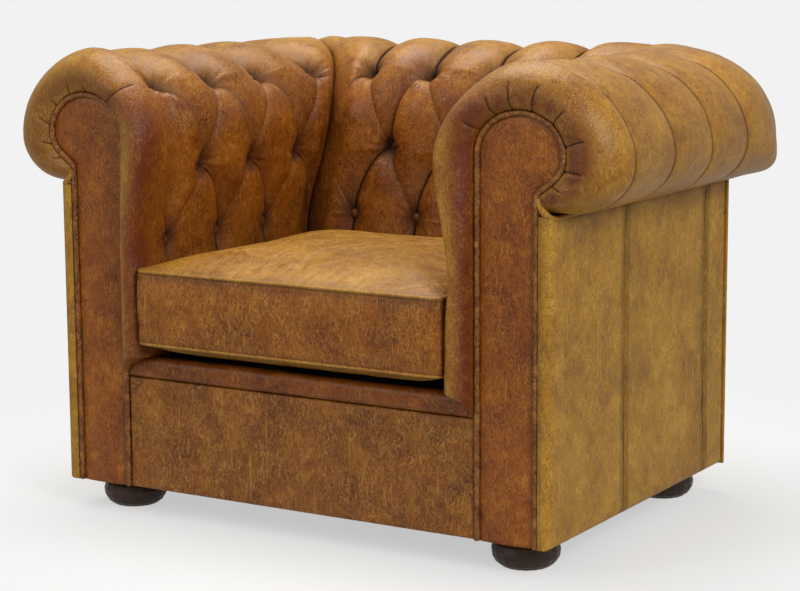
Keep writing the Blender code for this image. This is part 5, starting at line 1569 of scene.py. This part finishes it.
# %% Other materials
def plain_finish(name, dark, light, scale, stretch, roughness, metallic=0.0, bump=0.2, depth=0.0004):
    """A finish whose colour runs between two tones along a stretched noise."""
    finish, wiring, shader = new_material(name)
    tree = finish.node_tree
    here = tree.nodes.new("ShaderNodeTexCoord").outputs["Object"]
    stretched = wiring.mapping(here, (0.0, 0.0, 0.0), stretch)
    grain_noise = wiring.noise(stretched, scale, 5.0, 0.6)[0]
    colour = wiring.mix(wiring.span(grain_noise, 0.35, 0.65), dark, light)
    wiring.plug(shader.inputs["Base Color"], colour)
    rough_value = wiring.span(grain_noise, 0.3, 0.7, roughness - 0.07, roughness + 0.07)
    wiring.plug(shader.inputs["Roughness"], rough_value)
    shader.inputs["Metallic"].default_value = metallic
    relief = tree.nodes.new("ShaderNodeBump")
    relief.inputs["Strength"].default_value = bump
    relief.inputs["Distance"].default_value = depth
    wiring.plug(relief.inputs["Height"], grain_noise)
    wiring.plug(shader.inputs["Normal"], relief.outputs["Normal"])
    return finish


foot_wood = plain_finish("foot_wood", rgb(32, 15, 8), rgb(58, 31, 18), 9.0, (1, 1, 7), 0.38)
frame_wood = plain_finish("frame_wood", rgb(176, 136, 88), rgb(206, 170, 118), 5.0, (9, 1, 9), 0.62)
steel = plain_finish("steel", rgb(120, 120, 124), rgb(150, 150, 152), 60.0, (1, 1, 1), 0.34, 1.0)
sacking = plain_finish("sacking", rgb(150, 120, 78), rgb(190, 160, 110), 160.0, (5, 1, 1), 0.92,
                       bump=0.6)
# Near-black deck felt: painted shade in the gap under the cushion
felt_painted_shade = plain_finish("felt_painted_shade", rgb(26, 20, 16), rgb(40, 32, 26), 90.0, (1, 1, 1), 0.95, bump=0.5)
lining = plain_finish("lining", rgb(20, 20, 21), rgb(34, 34, 36), 240.0, (1, 1, 1), 0.9, bump=0.4)

for label, node in nodes.items():
    finish = None
    if label.startswith("foot_"):
        finish = foot_wood
    elif label.startswith("seat_spring"):
        finish = steel
    elif label == "deck_hessian":
        finish = sacking
    elif label == "deck_pad":
        finish = felt_painted_shade
    elif label == "dust_cover":
        finish = lining
    elif "rail" in label or "post" in label or "block" in label:
        finish = frame_wood
    if finish is not None:
        for slot_index in range(len(node.material_slots)):
            node.material_slots[slot_index].material = finish

# %% [markdown]
# Each new piece rides on the chair's one body, stands for the plain node it replaces, and takes
# its finish from the list below.

# %% Hand the pieces over
DRESSED = [
    (arm_right, "arm_pad_right", tan_pad, 0.8), (arm_left, "arm_pad_left", tan_pad, 0.8),
    (back_leather, "back_pad", red_back, 0.8), (cushion_piece, "seat_cushion", cushion_tan, 0.85),
    (lip_piece, "seat_lip", lip_dark, 0.9), (facing_right, "arm_facing_right", facing_brown, None),
    (facing_left, "arm_facing_left", facing_brown, None),
    (piping_right, "facing_piping_right", piping_brown, None),
    (piping_left, "facing_piping_left", piping_brown, None),
    (outside_right, "outside_arm_right", ochre, None), (outside_left, "outside_arm_left", ochre, None),
    (outside_back, "outside_back", ochre, None), (border_piece, "front_border", rail_brown, None),
    (set_right, None, tan_pad, None), (set_left, None, tan_pad, None), (set_back, None, red_back, None),
    (welt_right, None, ochre, None), (welt_left, None, ochre, None),
    (seam_high, None, cushion_tan, None), (seam_low, None, cushion_tan, None)]
for piece, node_name, finish, fill in DRESSED:
    piece.data.materials.append(finish)
    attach(piece, "root")
    if node_name:
        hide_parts(node_name)
print("pieces:", len(DRESSED))

# %% [markdown]
# A pale floor fades out into a pale backdrop, under a large soft light from above, a key light
# from the right and a weaker one from the left. A curved paper backdrop would do as well, but a
# floor that fades keeps the chair's shadow and leaves the rest as plain as in the photograph.

# %% Studio
FLOOR_HALF = 6.0
floor = new_object("studio_floor", [(-FLOOR_HALF, -FLOOR_HALF, 0), (FLOOR_HALF, -FLOOR_HALF, 0),
                                    (FLOOR_HALF, FLOOR_HALF, 0), (-FLOOR_HALF, FLOOR_HALF, 0)],
                   [(0, 1, 2, 3)], smooth=False)
floor_finish, wiring, shader = new_material("studio_floor")
here = floor_finish.node_tree.nodes.new("ShaderNodeTexCoord").outputs["Object"]
distance_node = floor_finish.node_tree.nodes.new("ShaderNodeVectorMath")
distance_node.operation = "LENGTH"
wiring.plug(distance_node.inputs[0], here)
fade = wiring.span(distance_node.outputs["Value"], 0.45, 1.15, 0.40, 0.0)
wiring.plug(shader.inputs["Alpha"], fade)
shader.inputs["Base Color"].default_value = (0.90, 0.92, 0.96, 1)
shader.inputs["Roughness"].default_value = 1.0
shader.inputs["Specular IOR Level"].default_value = 0.0
floor.data.materials.append(floor_finish)

BACKDROP = rgb(242, 242, 242)
world = bpy.data.worlds.new("studio")
world.use_nodes = True
bpy.context.scene.world = world
sky = world.node_tree
background = sky.nodes["Background"]
rays = sky.nodes.new("ShaderNodeLightPath")
seen = Wiring(sky)
colour = seen.mix(rays.outputs["Is Camera Ray"], (0.42, 0.405, 0.375, 1), BACKDROP)
seen.plug(background.inputs["Color"], colour)
background.inputs["Strength"].default_value = 1.0


WARM_WHITE = (1.0, 0.965, 0.90)


def area_light(name, place, target, width, height, power):
    """A soft rectangular light aimed at a point."""
    lamp = bpy.data.lights.new(name, "AREA")
    lamp.shape = "RECTANGLE"
    lamp.size = width
    lamp.size_y = height
    lamp.energy = power
    lamp.color = WARM_WHITE
    piece = bpy.data.objects.new(name, lamp)
    bpy.context.scene.collection.objects.link(piece)
    piece.location = place
    aim = Vector(target) - Vector(place)
    piece.rotation_euler = aim.to_track_quat("-Z", "Y").to_euler()
    return piece


area_light("soft_top", (-0.5, 0.3, 3.1), (0, 0, 0.4), 2.2, 1.8, 73)
area_light("key_right", (3.1, -1.7, 2.3), (0.1, 0, 0.4), 1.3, 1.3, 62)
area_light("fill_front", (-1.6, -3.4, 2.3), (0, 0, 0.4), 1.3, 1.3, 26)
bpy.context.scene.view_settings.view_transform = "Standard"
